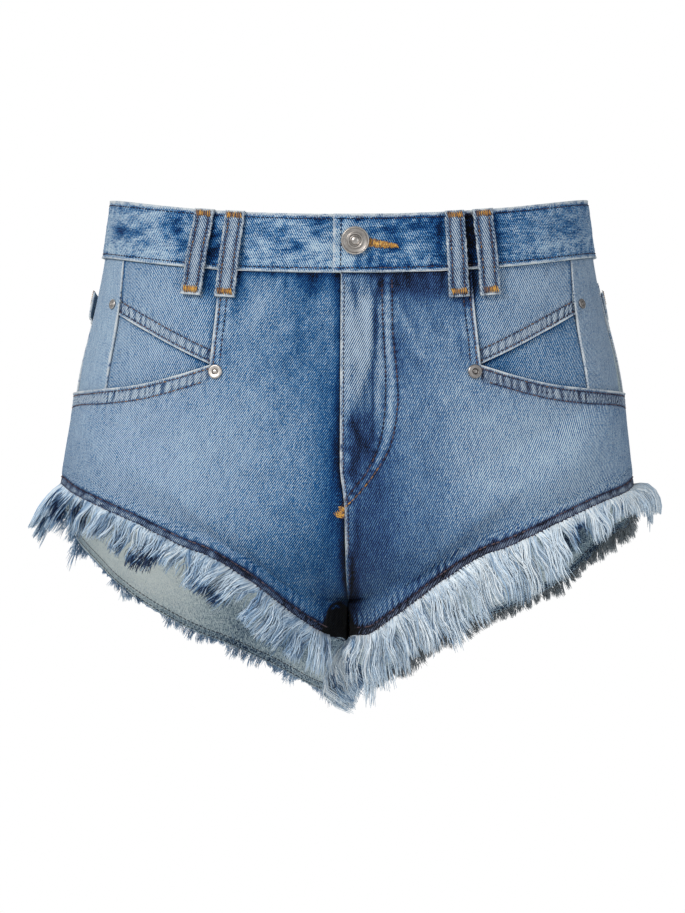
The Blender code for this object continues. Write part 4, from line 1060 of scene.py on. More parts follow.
def tube(path, across, up, radii, sides):
    """Closed tubes along paths (n, k, 3), with their rings turned by the two directions (n, k, 3)."""
    n, k = path.shape[:2]
    turn = np.arange(sides) * FULL_TURN / sides
    ring = across[:, :, None] * np.cos(turn)[:, None] + up[:, :, None] * np.sin(turn)[:, None]
    points = path[:, :, None] + ring * np.asarray(radii)[..., None, None]
    index = np.arange(n * k * sides).reshape(n, k, sides)
    return points.reshape(-1, 3), ring_quads(index), index[:, 0, ::-1], index[:, -1]


STITCH_SIDES, STRAND_SIDES = 4, 3
STITCH_PLACES, STITCH_RISE, STITCH_TAPER = (0.0, 0.22, 0.78, 1.0), (-0.7, 0.55, 0.55, -0.7), (0.45, 1.0, 1.0, 0.45)
STRAND_TIP = 0.45  # a strand's thickness at its tip, as a share
BAR_RADIUS, BAR_LIFT = 0.00034, 0.0004  # a bartack's thread, and how far its middle stands off the cloth


class Thread:
    """Collects stitches, and makes them one piece."""

    def __init__(self, name):
        self.name, self.starts, self.ends, self.ups, self.radii, self.tints = name, [], [], [], [], []

    def add(self, starts, ends, ups, radius, tints):
        self.starts.append(starts), self.ends.append(ends), self.ups.append(ups)
        self.radii.append(np.full(len(starts), radius)), self.tints.append(tints)

    def row(self, line, facing, tint, stitch=0.0028, radius=0.00034, wander=0.20, seed=1, fill=0.86):
        """A row of lockstitch along a line on the cloth."""
        run = run_along(line)
        count = max(1, int(run[-1] / stitch))
        pitch = run[-1] / count
        begin = np.arange(count) * pitch
        tints = tint + wander * scatter(seed).uniform(-1, 1, count)
        up = unit(read_at(begin + pitch / 2, run, facing))
        self.add(read_at(begin, run, line), read_at(begin + pitch * fill, run, line), up, radius, tints)

    def rows(self, sheet, axis, start, distances, tint, span=(0, None), seed=1, **stitches):
        """Rows of lockstitch at those distances from a row or column of a sheet's grid."""
        for n, distance in enumerate(distances):
            self.row(*sheet.trace(axis, start, distance, *span), tint, seed=seed + n, **stitches)

    def bar(self, centre, along, up, length, height, tint, pitch=0.00055, taper=1.0, seed=1):
        """A bartack or a buttonhole's end: close stitches across a short line."""
        count = max(2, int(length / pitch))
        share = np.linspace(-0.5, 0.5, count)
        random = scatter(seed)
        along, up = unit(np.asarray(along, float)), unit(np.asarray(up, float))
        across = np.cross(up, along)
        half = height / 2 * mix(1.0, taper, share + 0.5) * random.uniform(0.82, 1.12, count)
        uneven = random.uniform(-1, 1, count) * height * 0.04
        middle = centre + np.outer(share * length, along) + np.outer(uneven, across)
        lean = 0.22 * height * np.where(np.arange(count) % 2, 1.0, -1.0)
        ends = [middle + sign * (np.outer(half, across) + np.outer(lean * 0.5, along)) for sign in (-1, 1)]
        self.add(*ends, np.tile(up, (count, 1)), BAR_RADIUS, tint + 0.30 * random.uniform(-1, 0.8, count))

    def build(self):
        """One small closed tube for each stitch, rising from the cloth and going back into it."""
        start, end = np.concatenate(self.starts), np.concatenate(self.ends)
        up, radius, tint = np.concatenate(self.ups), np.concatenate(self.radii), np.concatenate(self.tints)
        share, rise = np.array(STITCH_PLACES), np.array(STITCH_RISE) * radius[:, None]
        path = start[:, None] + (end - start)[:, None] * share[None, :, None] + up[:, None] * rise[..., None]
        along = unit(end - start)
        across = unit(np.cross(along, up))
        radii = radius[:, None] * np.array(STITCH_TAPER)
        turned_by = [np.broadcast_to(way[:, None], path.shape) for way in (across, np.cross(across, along))]
        points, quads, first, last = tube(path, *turned_by, radii, STITCH_SIDES)
        tints = {"tint": np.repeat(tint, STITCH_SIDES * len(share))}
        add_mesh(self.name, points, [quads, first, last], ["thread"], attributes=tints)


# ---------------------------------------------------------------- camera, light and floor

TARGET, DISTANCE, AZIMUTH = Vector((-0.004, 0.0, -0.1382)), 3.0, math.radians(1.5)
LENS, SENSOR = 193.6, 36.0
SKY_COLOUR, SKY_STRENGTH = (0.93, 0.97, 1.0, 1.0), 0.48
WHITE = (1.0, 1.0, 1.0, 1.0)
LAMPS = (  # (name, place, size, power, colour)
    ("key", (-1.5, -2.3, 1.4), 1.0, 60.0, (1.0, 0.985, 0.96)),
    ("fill", (1.9, -2.0, 0.2), 1.8, 15.0, (0.95, 0.98, 1.0)),
    ("rim", (-0.6, 2.2, 1.4), 1.6, 22.0, (1.0, 1.0, 1.0)),
)
FLOOR_RADIUS, FLOOR_HEIGHT, FLOOR_SIDES = 2.0, -0.75, 96
FLOOR_COLOUR = (0.86, 0.86, 0.85, 1.0)


def aim(thing, place):
    """Puts a camera or a lamp there, looking at the shorts."""
    thing.location = place
    thing.rotation_mode = "QUATERNION"
    thing.rotation_quaternion = (TARGET - thing.location).to_track_quat("-Z", "Y")


def build_stage():
    """The camera, the lamps, the sky and a pale floor."""
    scene = bpy.context.scene
    camera = add_object("camera", bpy.data.cameras.new("camera"))
    camera.data.lens, camera.data.sensor_width = LENS, SENSOR
    aim(camera, TARGET + DISTANCE * Vector((math.sin(AZIMUTH), -math.cos(AZIMUTH), 0.0)))
    scene.camera = camera
    for name, place, size, power_w, colour in LAMPS:
        lamp = add_object(name, bpy.data.lights.new(name, "AREA"))
        lamp.data.energy, lamp.data.size, lamp.data.color = power_w, size, colour
        aim(lamp, place)

    # a soft sky lights the shorts, and the camera sees plain white
    world = scene.world = bpy.data.worlds.new("studio")
    world.use_nodes = True
    nodes, links = world.node_tree.nodes, world.node_tree.links
    sky, backdrop = nodes["Background"], nodes.new("ShaderNodeBackground")
    for shade, colour, strength in ((sky, SKY_COLOUR, SKY_STRENGTH), (backdrop, WHITE, 1.0)):
        shade.inputs["Color"].default_value, shade.inputs["Strength"].default_value = colour, strength
    seen, joined = nodes.new("ShaderNodeLightPath"), nodes.new("ShaderNodeMixShader")
    for n, socket in enumerate((seen.outputs["Is Camera Ray"], sky.outputs[0], backdrop.outputs[0])):
        links.new(socket, joined.inputs[n])
    links.new(joined.outputs[0], nodes["World Output"].inputs[0])

    turn = np.arange(FLOOR_SIDES) * FULL_TURN / FLOOR_SIDES
    ring = [(FLOOR_RADIUS * math.cos(t), FLOOR_RADIUS * math.sin(t), FLOOR_HEIGHT) for t in turn]
    mesh = bpy.data.meshes.new("floor")
    mesh.from_pydata(ring, [], [list(range(FLOOR_SIDES))])
    paper = Shader("floor")
    grain = paper.node("TexNoise", {"Scale": 60.0}).outputs["Fac"]
    mesh.materials.append(paper.finish(FLOOR_COLOUR, grain, bump=0.02))
    add_object("floor", mesh)
    scene.view_settings.view_transform = "Standard"


# ---------------------------------------------------------------- front


def sheet_on(side, around, down, out, clear=None):
    """A Sheet on the garment's surface. clear moves one column aside, to leave the centre seam's gap."""
    point, normal = cloth_frame(side, around, down)
    point = point + normal * np.asarray(out)[..., None]
    pressed = ramp(down, 0.87, 0.94) * (1 - ramp(np.minimum(around, 1 - around), 0.040, 0.090))
    point[..., 0] = mix(point[..., 0], side * 0.0001, pressed)
    if clear is not None:
        column, move = clear
        point[:, column] += np.array((move[0] * side, move[1], 0.0))
    return Sheet(point, normal, np.full(point.shape[:2], CLOTH), side)


FACING_BASE, SIDE_BASE, LOOP_BASE = {LEFT: 0.50, RIGHT: 0.62}, {LEFT: 0.62, RIGHT: 0.80}, {LEFT: 0.40, RIGHT: 0.42}
FRONT_LOOK = {  # (wash, the mouth's wash and grey, the wash of the ribs above the hem, the mouth's thread)
    LEFT: (0.435, -0.17, 0.34, 0.30, 0.24),
    RIGHT: (0.47, 0.02, 0.30, 0.20, 0.34),
}
MOUTH_RIBS = (0.085, 0.0058, 0.0028)  # over this length their pitch goes from the first to the last
LOOP_SHADE = {side: ((73 * side, -32, 9, 12, 0, 1.0),) for side in SIDES}
HOLLOW_ACROSS, HOLLOW_TOP, HOLLOW_SHIFT = -0.0058, -0.2330, 0.0010
HOLLOW_WIDTH, HOLLOW_GROWTH, HOLLOW_HEIGHT = 0.0056, 0.0038, 0.0068


def lay_front(plan):
    """A front panel. Its grid's U is 1 at the upright pocket seam, and V is 1 at the height of the pocket's mouth."""
    side = plan.side
    u = np.concatenate([graded(0, 1, 0.078, FINE_STEP, True, True)[:-1], graded(1, 2, 0.104, 0.00105, True, False)])
    v = np.concatenate([graded(0, 1, 0.056, 0.0014, False, True)[:-1], graded(1, 2, 0.115, 0.0012, True, True)])
    seam, mouth_row = int(np.argmin(np.abs(u - 1))), int(np.argmin(np.abs(v - 1)))
    U, V = np.meshgrid(u, v)
    level = np.where(V <= 1, plan.seam[1][1] * V, mix(plan.seam[1][1], 1.0, V - 1))
    at_seam = plan.pocket_seam(level)
    end = SIDE_SEAM + 0.9 * SEAM_GAP_AROUND
    around = np.where(U <= 1, mix(plan.centre_edge(level), at_seam, U), mix(at_seam, end, U - 1))
    mouth = plan.mouth_down(around)
    down = np.where(V <= 1, mouth * V, mix(mouth, 1.0, V - 1))
    at_fly = (side == LEFT) * (1 - ramp(U, 0.02, 0.12)) * (1 - ramp(V, 1.9, 2.0))
    at_pocket = (1 - ramp(np.abs(U - 1), 0.02, 0.06)) * (V <= 1)
    at_mouth = (1 - ramp(V, 1.0, 1.05)) * (U >= 1) * (V >= 1)
    out = np.maximum(RIDGE * np.maximum.reduce([at_fly, at_pocket, at_mouth]), LOW_RIDGE * ramp(V, 1.95, 2.0))
    sheet = sheet_on(side, around, down, out, clear=(0, (SEAM_GAP / 2, 0.0)))
    sheet.keep = ~((V[:-1, :-1] < 1 - 1e-9) & (U[:-1, :-1] >= 1 - 1e-9))
    return sheet, U, V, seam, mouth_row


def wear_fly(sheet, V, fly, x, z):
    """The fly's edge, its combed and faded cloth, and the rope-like seam below it, with painted shade beside the rope
    and in the grooves of the stitching.
    """
    run, below_fly = sheet.below, ramp(V, 1.5, 1.6)
    worn_edge(sheet, fly, run, 0.0018, 0.86, 43, 1 - 0.55 * below_fly)
    combed = noise(48, x / 0.0021 + z / 0.06, z / 0.017) + 0.6 * noise(49, x / 0.0011, z / 0.006)
    sheet.wash += 0.17 * combed * ramp(x, -0.001, 0.004) * (1 - ramp(x, 0.020, 0.040)) * ramp(z, -0.172, -0.120)
    twist, rope = np.sin(FULL_TURN * (run / 0.0034 + fly / 0.0030)), below_fly * bell(fly, 0, 0.0022)
    sheet.relief += rope * (0.0006 + 0.0002 * twist)
    # the rope is paler, and painted shade lies beside it
    sheet.wash += rope * (0.34 + 0.22 * twist) - 0.42 * below_fly * bell(fly, 0.0040, 0.0014)
    sheet.wash -= 0.14 * bell(fly, 0.0072, 0.0018) * (1 - ramp(V, 1.55, 1.60))
    sew(sheet, "fly", fly, run)
    for line, pitch, seed in ((J_INNER, 0.0058, 46), (J_OUTER, 0.0050, 47)):
        off, along = near_line(x, z, smooth_line(line, 0.003))
        sew(sheet, "fly_stitching", off, along)
        # painted shade in the groove of each row of stitching
        sheet.wash -= 0.24 * bell(off, 0, 0.0009) * (V > 0.03)
        pucker(sheet, off, along, 0.0, 0.0032, pitch, 0.12, 0.00028, seed)
    off, _ = near_line(x, z, smooth_line(J_MIDDLE, 0.003))
    sheet.wash += 0.28 * bell(off, 0, 0.0014)
    sheet.worn += 0.14 * bell(off, 0, 0.0013)
    sheet.relief += 0.0003 * bell(off, 0, 0.0016)


def paint_hollow_shade(sheet, x, z):
    """The hollow where the legs part, pressed in a little and painted black as shade: round at its top and wider at the
    hem.
    """
    growth = ramp(-z, 0.228, 0.246)
    half_width = HOLLOW_WIDTH + HOLLOW_GROWTH * growth
    above = np.maximum(0.0, z - HOLLOW_TOP)
    off = np.hypot((x - HOLLOW_ACROSS - HOLLOW_SHIFT * growth) / half_width, above / HOLLOW_HEIGHT)
    hollow = np.exp(-(off**8))
    sheet.relief -= 0.0008 * hollow
    # painted shade: the hollow is painted black, and no edge in it is rubbed pale
    sheet.wash -= 2.2 * hollow
    sheet.worn *= 1 - np.clip(1.2 * hollow, 0, 1)
    # a pale rim at its top
    sheet.wash += 2.7 * bell(off, 0.66, 0.16) * bell(x, -0.0062, 0.0036) * ramp(z, -0.2335, -0.2315)


def build_front(plan, thread):
    """A front panel with its washes, its sewn edges and its stitching."""
    side = plan.side
    sheet, U, V, seam, mouth_row = lay_front(plan)
    wash, mouth_wash, mouth_grey, hem_wash, mouth_tint = FRONT_LOOK[side]
    x, z = sheet.outer[..., 0], sheet.outer[..., 2]
    dress(sheet, 11 + side, wash, FRONT_FADE_AND_SHADE, FRONT_CREASES, 0.035)
    near_fly = ramp(z, -0.150, -0.090) * (1 - ramp(np.abs(x), 0.050, 0.085))
    sheet.wash += 0.07 * noise(19, x / 0.0042 + z / 0.02, z / 0.0052) * near_fly
    if side == RIGHT:
        sheet.skew = 0.2
    else:
        sheet.weave, sheet.grey = 0.8 + patches(FLY_WEAVE, x, z), 0.15

    run, fly, edge, hem = sheet.across, sheet.from_column(0), sheet.from_column(seam), sheet.from_row(-1)
    under_mouth = np.hypot(sheet.from_row(mouth_row), np.where(U < 1, edge, 0.0))
    at = (V >= 1) & (U >= 1)
    sew(sheet, "mouth", under_mouth, run, at)
    sheet.wash += mouth_wash * at * bell(under_mouth, 0.0054, 0.0036)
    sheet.grey = sheet.grey + mouth_grey * at * bell(under_mouth, 0.0056, 0.0048)
    ribs = narrowing(run - run[:, seam : seam + 1], *MOUTH_RIBS)
    pucker(sheet, under_mouth, ribs, 0.0024, 0.0084, 1.0, 0.44, 0.00046, 23, at)
    sew(sheet, "pocket_seam", edge, sheet.below, (V <= 1) & (U <= 1))
    sheet.worn *= 1 - np.clip(patches(LOOP_SHADE[side], x, z), 0, 1)
    sew(sheet, "front_hem", hem, run)
    pucker(sheet, hem, run + 0.5 * hem, 0.0010, 0.0062, 0.0027, 0.22, 0.00030, 37)
    pucker(sheet, hem, run, 0.0064, 0.0150, 0.0050, hem_wash, 0.00030, 39)
    sheet.wash += 0.20 * bell(hem, 0.0034, 0.0024) * noise(36, run / 0.0016, hem / 0.0012)
    # painted shadow beneath the waistband
    sew(sheet, "front_top", sheet.from_row(0), run, U <= 1)
    if side == LEFT:
        wear_fly(sheet, V, fly, x, z)
    else:
        # painted shadow beside the fly, under its overlapping edge
        sew(sheet, "under_fly", fly, sheet.below)
    paint_hollow_shade(sheet, x, z)
    sheet.inner_wash = 0.84 + 0.10 * noise(51, x / 0.012, z / 0.012)
    sheet.inner_wash -= 0.5 * bell(hem, 0.0030, 0.0014) + 0.3 * bell(edge, 0, 0.0012)
    sheet.build("front")

    for n, distance in enumerate(rows_of("mouth")):
        thread.rows(sheet, 0, mouth_row, [distance], mouth_tint, (seam + 4 * n, None), 50 + n)
    for n, distance in enumerate(FRONT_HEM_ROWS):
        line, facing = sheet.trace(0, sheet.rows - 1, distance)
        seen = ~((np.abs(line[:, 0] + 0.004) < 0.009) & (line[:, 2] > -0.2505))  # not over the hollow
        radius = 0.00032 + 0.00009 * n
        thread.row(line[seen], facing[seen], 0.10 + 0.08 * n, radius=radius, fill=0.94, seed=60 + n)
    near, far = rows_of("pocket_seam", -1)
    thread.rows(sheet, 1, seam, [near], 0.30, (4, mouth_row), 64, wander=0.16, radius=0.00036)
    thread.rows(sheet, 1, seam, [far], 0.16, (4, mouth_row - 3), 65)
    if side == LEFT:
        line, facing = sheet.trace(1, 0, 0.0020, 3, -8)
        above = line[:, 2] > -0.219
        thread.row(line[above], facing[above], 0.12, radius=0.00026, seed=66)
    return sheet


def build_coin_pocket(plan, thread):
    """The upper pocket panel, whose lower edge is a second mouth."""
    side = plan.side
    U, V = np.meshgrid(graded(0, 1, 0.062, FINE_STEP), graded(0, 1, 0.050, FINE_STEP, False, True))
    level = V * plan.coin[0][1]
    start = plan.pocket_seam(level) + 3 * SEAM_GAP_AROUND
    around = mix(start, plan.forward_seam(level) - SEAM_GAP_AROUND, U)
    down = V * plan.coin_down(around)
    sheet = sheet_on(side, around, down, plan.coin_out(around, down) + 0.5 * RIDGE * ramp(V, 0.94, 1.0))
    dress(sheet, 71 + side, 0.60, COIN_FADE_AND_SHADE, mottle=0.04)
    sheet.grey = 0.10 * (side == LEFT)
    sew(sheet, "coin_pocket", sheet.from_row(-1), sheet.across)
    # painted shade along its seams and beneath the waistband
    sheet.wash -= 0.20 * bell(sheet.from_column(0), 0, 0.0028) + 0.42 * bell(sheet.from_column(-1), 0, 0.0022)
    sheet.wash -= 0.12 * bell(sheet.from_row(0), 0, 0.0030)
    sheet.build("coin_pocket")
    thread.rows(sheet, 0, sheet.rows - 1, rows_of("coin_pocket", -1), 0.30, seed=80)


def build_facing(plan):
    """The cloth behind the pocket's two mouths. Its V is 1 at the lower one."""
    side = plan.side
    start, end = plan.seam[1][0] - UNDER_SIDE, plan.forward[-1][1] + UNDER_SIDE
    U, V = np.meshgrid(np.linspace(0, 1, 46), np.concatenate([np.linspace(0, 1, 26)[:-1], np.linspace(1, 2, 7)]))
    around = mix(start, end, U)
    top = plan.below(around, plan.coin_down(around), -UNDER_COIN)
    down = np.where(V <= 1, mix(top, plan.mouth_down(around), V), plan.tucked_under(around, np.maximum(V, 1.0)))
    sheet = sheet_on(side, around, down, plan.coin_out(around, down) - FACING_BELOW)
    dress(sheet, 85 + side, FACING_BASE[side], FACING_FADE_AND_SHADE, mottle=0.04)
    # painted shadow beneath the coin pocket's edge and along the mouth
    sheet.wash -= 0.45 * bell(sheet.from_row(0), UNDER_COIN, 0.0014) + 0.20 * bell(sheet.from_row(25), 0, 0.0016)
    sheet.build("pocket_facing")


def build_side_panel(plan):
    """The piece between the forward seam and the side seam, which ends beneath the pocket's mouth."""
    side = plan.side
    v = np.concatenate([graded(0, 1, 0.080, 0.0016), np.linspace(1, 2, 7)[1:]])
    U, V = np.meshgrid(graded(0, 1, 0.045, FINE_STEP, True), v)
    level = np.minimum(V, 1.0) * plan.forward[-1][0]
    around = mix(plan.forward_seam(level) + SEAM_GAP_AROUND, SIDE_SEAM - SEAM_GAP_AROUND, U)
    down = np.where(V <= 1, V * plan.mouth_down(around), plan.tucked_under(around, np.maximum(V, 1.0)))
    ridge = (1 - ramp(U, 0.02, 0.1)) * np.maximum(0.0, 1 - plan.sink(around, down))
    sheet = sheet_on(side, around, down, plan.side_out(around, down) + LOW_RIDGE * ridge)
    dress(sheet, 91 + side, SIDE_BASE[side], mottle=0.03)
    sheet.grey = 0.14 * (side == LEFT)
    sew(sheet, "side_panel", sheet.from_column(0), sheet.below)
    # painted shade towards the side seam
    sheet.wash -= 0.25 * ramp(U, 0.86, 1.0)
    sheet.build("side_panel")


# ---------------------------------------------------------------- back


def yoke_down(side, around):
    share = (around - SIDE_SEAM) / (1 - SIDE_SEAM)
    return down_to(side, around, mix(YOKE_SIDE_HEIGHT, YOKE_CENTRE_HEIGHT, share))


BACK_START, BACK_CLEAR = SIDE_SEAM + SEAM_GAP_AROUND, (-1, (SEAM_GAP / 2, 0.0))
INSIDE_LOOK = {  # on the wrong side: (wash, how much painted shade darkens it towards the hem, where the painted patches begin beside the middle)
    LEFT: (0.85, 0.75, (0.012, 0.020)),
    RIGHT: (0.88, 0.30, (0.0008, 0.0030)),
}
BACK_THREAD = 0.24


def build_yoke(side):
    U, V = np.meshgrid(graded(0, 1, 0.185, BACK_STEP, True, True), graded(0, 1, 0.030, BACK_STEP))
    around = mix(BACK_START, 1.0, U)
    foot = down_to(side, around, height_at(side, around, yoke_down(side, around)) + SEAM_GAP)
    sheet = sheet_on(side, around, foot * V, np.full(U.shape, COIN_OUT), clear=BACK_CLEAR)
    dress(sheet, 111 + side, 0.62, BACK_WASH)
    # painted shade beneath the waistband and along its foot
    sheet.wash -= 0.2 * bell(sheet.from_row(-1), 0, 0.002) + 0.14 * bell(sheet.from_row(0), 0, 0.003)
    sheet.build("yoke")


def build_back(side, thread):
    """A back panel below the yoke, with the look of its wrong side too."""
    U, V = np.meshgrid(graded(0, 1, 0.205, 0.0019, True, True), graded(0, 1, 0.205, 0.0019, True, True))
    around = mix(BACK_START, 1.0, U)
    down = mix(yoke_down(side, around), 1.0, V)
    at_side, at_yoke = 1 - ramp(U, 0.01, 0.05), 1 - ramp(V, 0.01, 0.05)
    at_centre = ramp(U, 0.93, 0.98) * (side == LEFT)
    out = np.maximum(RIDGE * np.maximum.reduce([at_side, at_yoke, at_centre]), LOW_RIDGE * ramp(V, 0.9, 1.0))
    sheet = sheet_on(side, around, down, out, clear=BACK_CLEAR)
    dress(sheet, 115 + side, 0.56, BACK_WASH, BACK_CREASES)
    sheet.weave = 0.75
    hem, last_row, last_column = sheet.from_row(-1), sheet.rows - 1, sheet.columns - 1
    sew(sheet, "back_side", sheet.from_column(0), sheet.below)
    sew(sheet, "yoke", sheet.from_row(0), sheet.across)
    sew(sheet, "back_hem", hem, sheet.across)
    # on the right half, painted shadow under the left half's overlapping edge
    sew(sheet, "back_centre" if side == LEFT else "under_back_centre", sheet.from_column(-1), sheet.below)
    thread.rows(sheet, 0, 0, rows_of("yoke"), BACK_THREAD, seed=140)
    thread.rows(sheet, 0, last_row, BACK_HEM_ROWS, BACK_THREAD, seed=142)
    if side == LEFT:
        thread.rows(sheet, 1, last_column, rows_of("back_centre", -1), BACK_THREAD, seed=144)
    # the same hem stitching shows inside, in grey
    for n, distance in enumerate(BACK_HEM_ROWS):
        line, facing = sheet.trace(0, last_row, distance)
        thread.row(line - facing * CLOTH, -facing, 0.10, wander=0.12, seed=150 + n, radius=0.00024)
    x, _, z = np.moveaxis(sheet.outer, -1, 0)
    wash, hem_shade, past_middle = INSIDE_LOOK[side]
    # the wrong side: painted shade and one patch of painted light where the leg openings show it, and painted shade
    # along and towards the hem
    sheet.inner_wash = wash + patches(INSIDE_PAINTED_LIGHT_AND_SHADE, x, z) * ramp(np.abs(x), *past_middle)
    sheet.inner_wash -= 0.55 * bell(hem, 0.0030, 0.0012) + hem_shade * ramp(-hem, -0.010, 0.0)
    sheet.build("back")
    return sheet


def build_back_pocket(side, thread):
    """A patch pocket with a pointed foot, which gapes a little at its mouth."""
    U, V = np.meshgrid(graded(0, 1, 0.135, BACK_STEP, True, True), graded(0, 1, 0.110, BACK_STEP, True, True))
    inset = BACK_POCKET_TAPER * V
    around = mix(BACK_POCKET_AROUND[0] + inset, BACK_POCKET_AROUND[1] - inset, U)
    foot = BACK_POCKET_BOTTOM - BACK_POCKET_POINT * (1 - np.abs(2 * U - 1))
    down = down_to(side, around, mix(mix(*BACK_POCKET_TOP, U), foot, V))
    at_hem = 1 - ramp(V, BACK_POCKET_HEM, BACK_POCKET_HEM_END)
    gape = BACK_POCKET_GAPE[side] * at_hem * (0.25 + 0.75 * (1 - ramp(U, 0.0, 0.4)))
    sheet = sheet_on(side, around, down, CLOTH + 1.5 * SEAM_GAP + RIDGE + gape)
    dress(sheet, 161 + side, 0.60, BACK_WASH)
    sheet.weave = 0.75
    sheet.relief += creases(BACK_CREASES, sheet.outer[..., 0], sheet.outer[..., 2])
    top = sheet.from_row(0)
    edges = np.minimum.reduce([sheet.from_column(0), sheet.from_column(-1), sheet.from_row(-1), top])
    along = np.where(np.minimum(U, 1 - U) < np.minimum(V, 1 - V), sheet.below, sheet.across)
    sew(sheet, "back_pocket", edges, along)
    sew(sheet, "back_pocket_top", top, sheet.across)
    for axis, start, distances, seed in (
        (0, 0, (0.0020, 0.0130), 170),
        (1, 0, rows_of("back_pocket"), 172),
        (1, sheet.columns - 1, rows_of("back_pocket", -1), 174),
        (0, sheet.rows - 1, rows_of("back_pocket", -1), 176),
    ):
        thread.rows(sheet, axis, start, distances, BACK_THREAD, (2, -2), seed)
    for column in (3, -4):
        centre, up = sheet.points()[4, column], sheet.normals[4, column]
        along = sheet.outer[9, column] - sheet.outer[0, column]
        thread.bar(centre + up * BAR_LIFT, along, up, 0.0080, 0.0030, 0.62, seed=180 + column)
    sheet.build("back_pocket")


# ---------------------------------------------------------------- waistband and loops

BAND_LOOK = {  # (wash, how much paler it is towards the side, how strong its crumples are)
    LEFT: (0.475, 0.10, 0.72),
    RIGHT: (0.615, 0.0, 1.0),
}
BAND_FRONT, BAND_COLUMNS = 0.12, 210  # the first stretch has a fine grid, and the rest this many columns
BAND_THREAD = dict(radius=0.00030)


def build_waistband(side, thread):
    """One half of the band. The left one ends over the right one, at the fly."""
    end = -BAND_END if side == LEFT else -BAND_UNDERLAP
    near = around_for(end + graded(0, 1, BAND_FRONT, FINE_STEP, side == LEFT) * (BAND_FRONT - end))
    arounds = np.concatenate([near, np.linspace(near[-1], 1.0 - SEAM_GAP_AROUND / 4, BAND_COLUMNS)[1:]])
    A, UP = np.meshgrid(arounds, 1 - graded(0, 1, BAND_HEIGHT, FINE_STEP, True, True))
    across = np.where(A < 0.5, band_point(LEFT, A, UP, 0 * A)[0][..., 0], 1.0)
    crown = BAND_CROWN * (1 - np.abs(2 * UP - 1))
    point, normal = band_point(side, A, UP, band_out(side, across) + crown)
    point[..., 2] += SEAM_GAP * (1 - UP)
    sheet = Sheet(point, normal, np.full(A.shape, BAND_CLOTH), side)
    x, y, z = np.moveaxis(point, -1, 0)
    wash, paler, depth = BAND_LOOK[side]
    dress(sheet, 181 + side, wash + paler * ramp(x, 0.09, 0.14), mottle=0.06)
    sheet.wash += ramp(-y, -0.01, 0.01) * patches(BAND_FADE_AND_SHADE, x, z)
    smear = noise(185, x / 0.013 + z / 0.03, y / 0.02, z / 0.0042 - side * x / 0.03)
    crumple = noise(186, x / 0.0050 + z / 0.010, y / 0.008, z / 0.0026 - x / 0.016)
    fine = noise(187, x / 0.0024, y / 0.004, z / 0.0016)
    sheet.wash += depth * (0.13 * power(smear, 0.8) + 0.22 * power(crumple, 0.8) + 0.10 * fine)
    sheet.relief += 0.00025 * smear + 0.00022 * crumple
    sheet.inner_wash = 0.80 + 0.12 * smear + 0.10 * crumple
    sew(sheet, "band_top", sheet.from_row(0), sheet.across)
    sew(sheet, "band_foot", sheet.from_row(-1), sheet.across)
    if side == LEFT:
        sew(sheet, "band_end", sheet.from_column(0), sheet.below)
    sheet.build("waistband")
    thread.rows(sheet, 0, 0, rows_of("band_top"), 0.10, (3, None), 195, **BAND_THREAD)
    thread.rows(sheet, 0, sheet.rows - 1, rows_of("band_foot", -1), 0.18, (3, None), 196, **BAND_THREAD)
    if side == LEFT:
        thread.rows(sheet, 1, 0, rows_of("band_end"), -0.02, (4, -4), 199, wander=0.05, **BAND_THREAD)
    return sheet


LOOP_COLUMNS, LOOP_STITCHED = 19, (4, 14)
LOOP_TACKS = (0.052, 0.945)  # how far down the loop its bartacks are


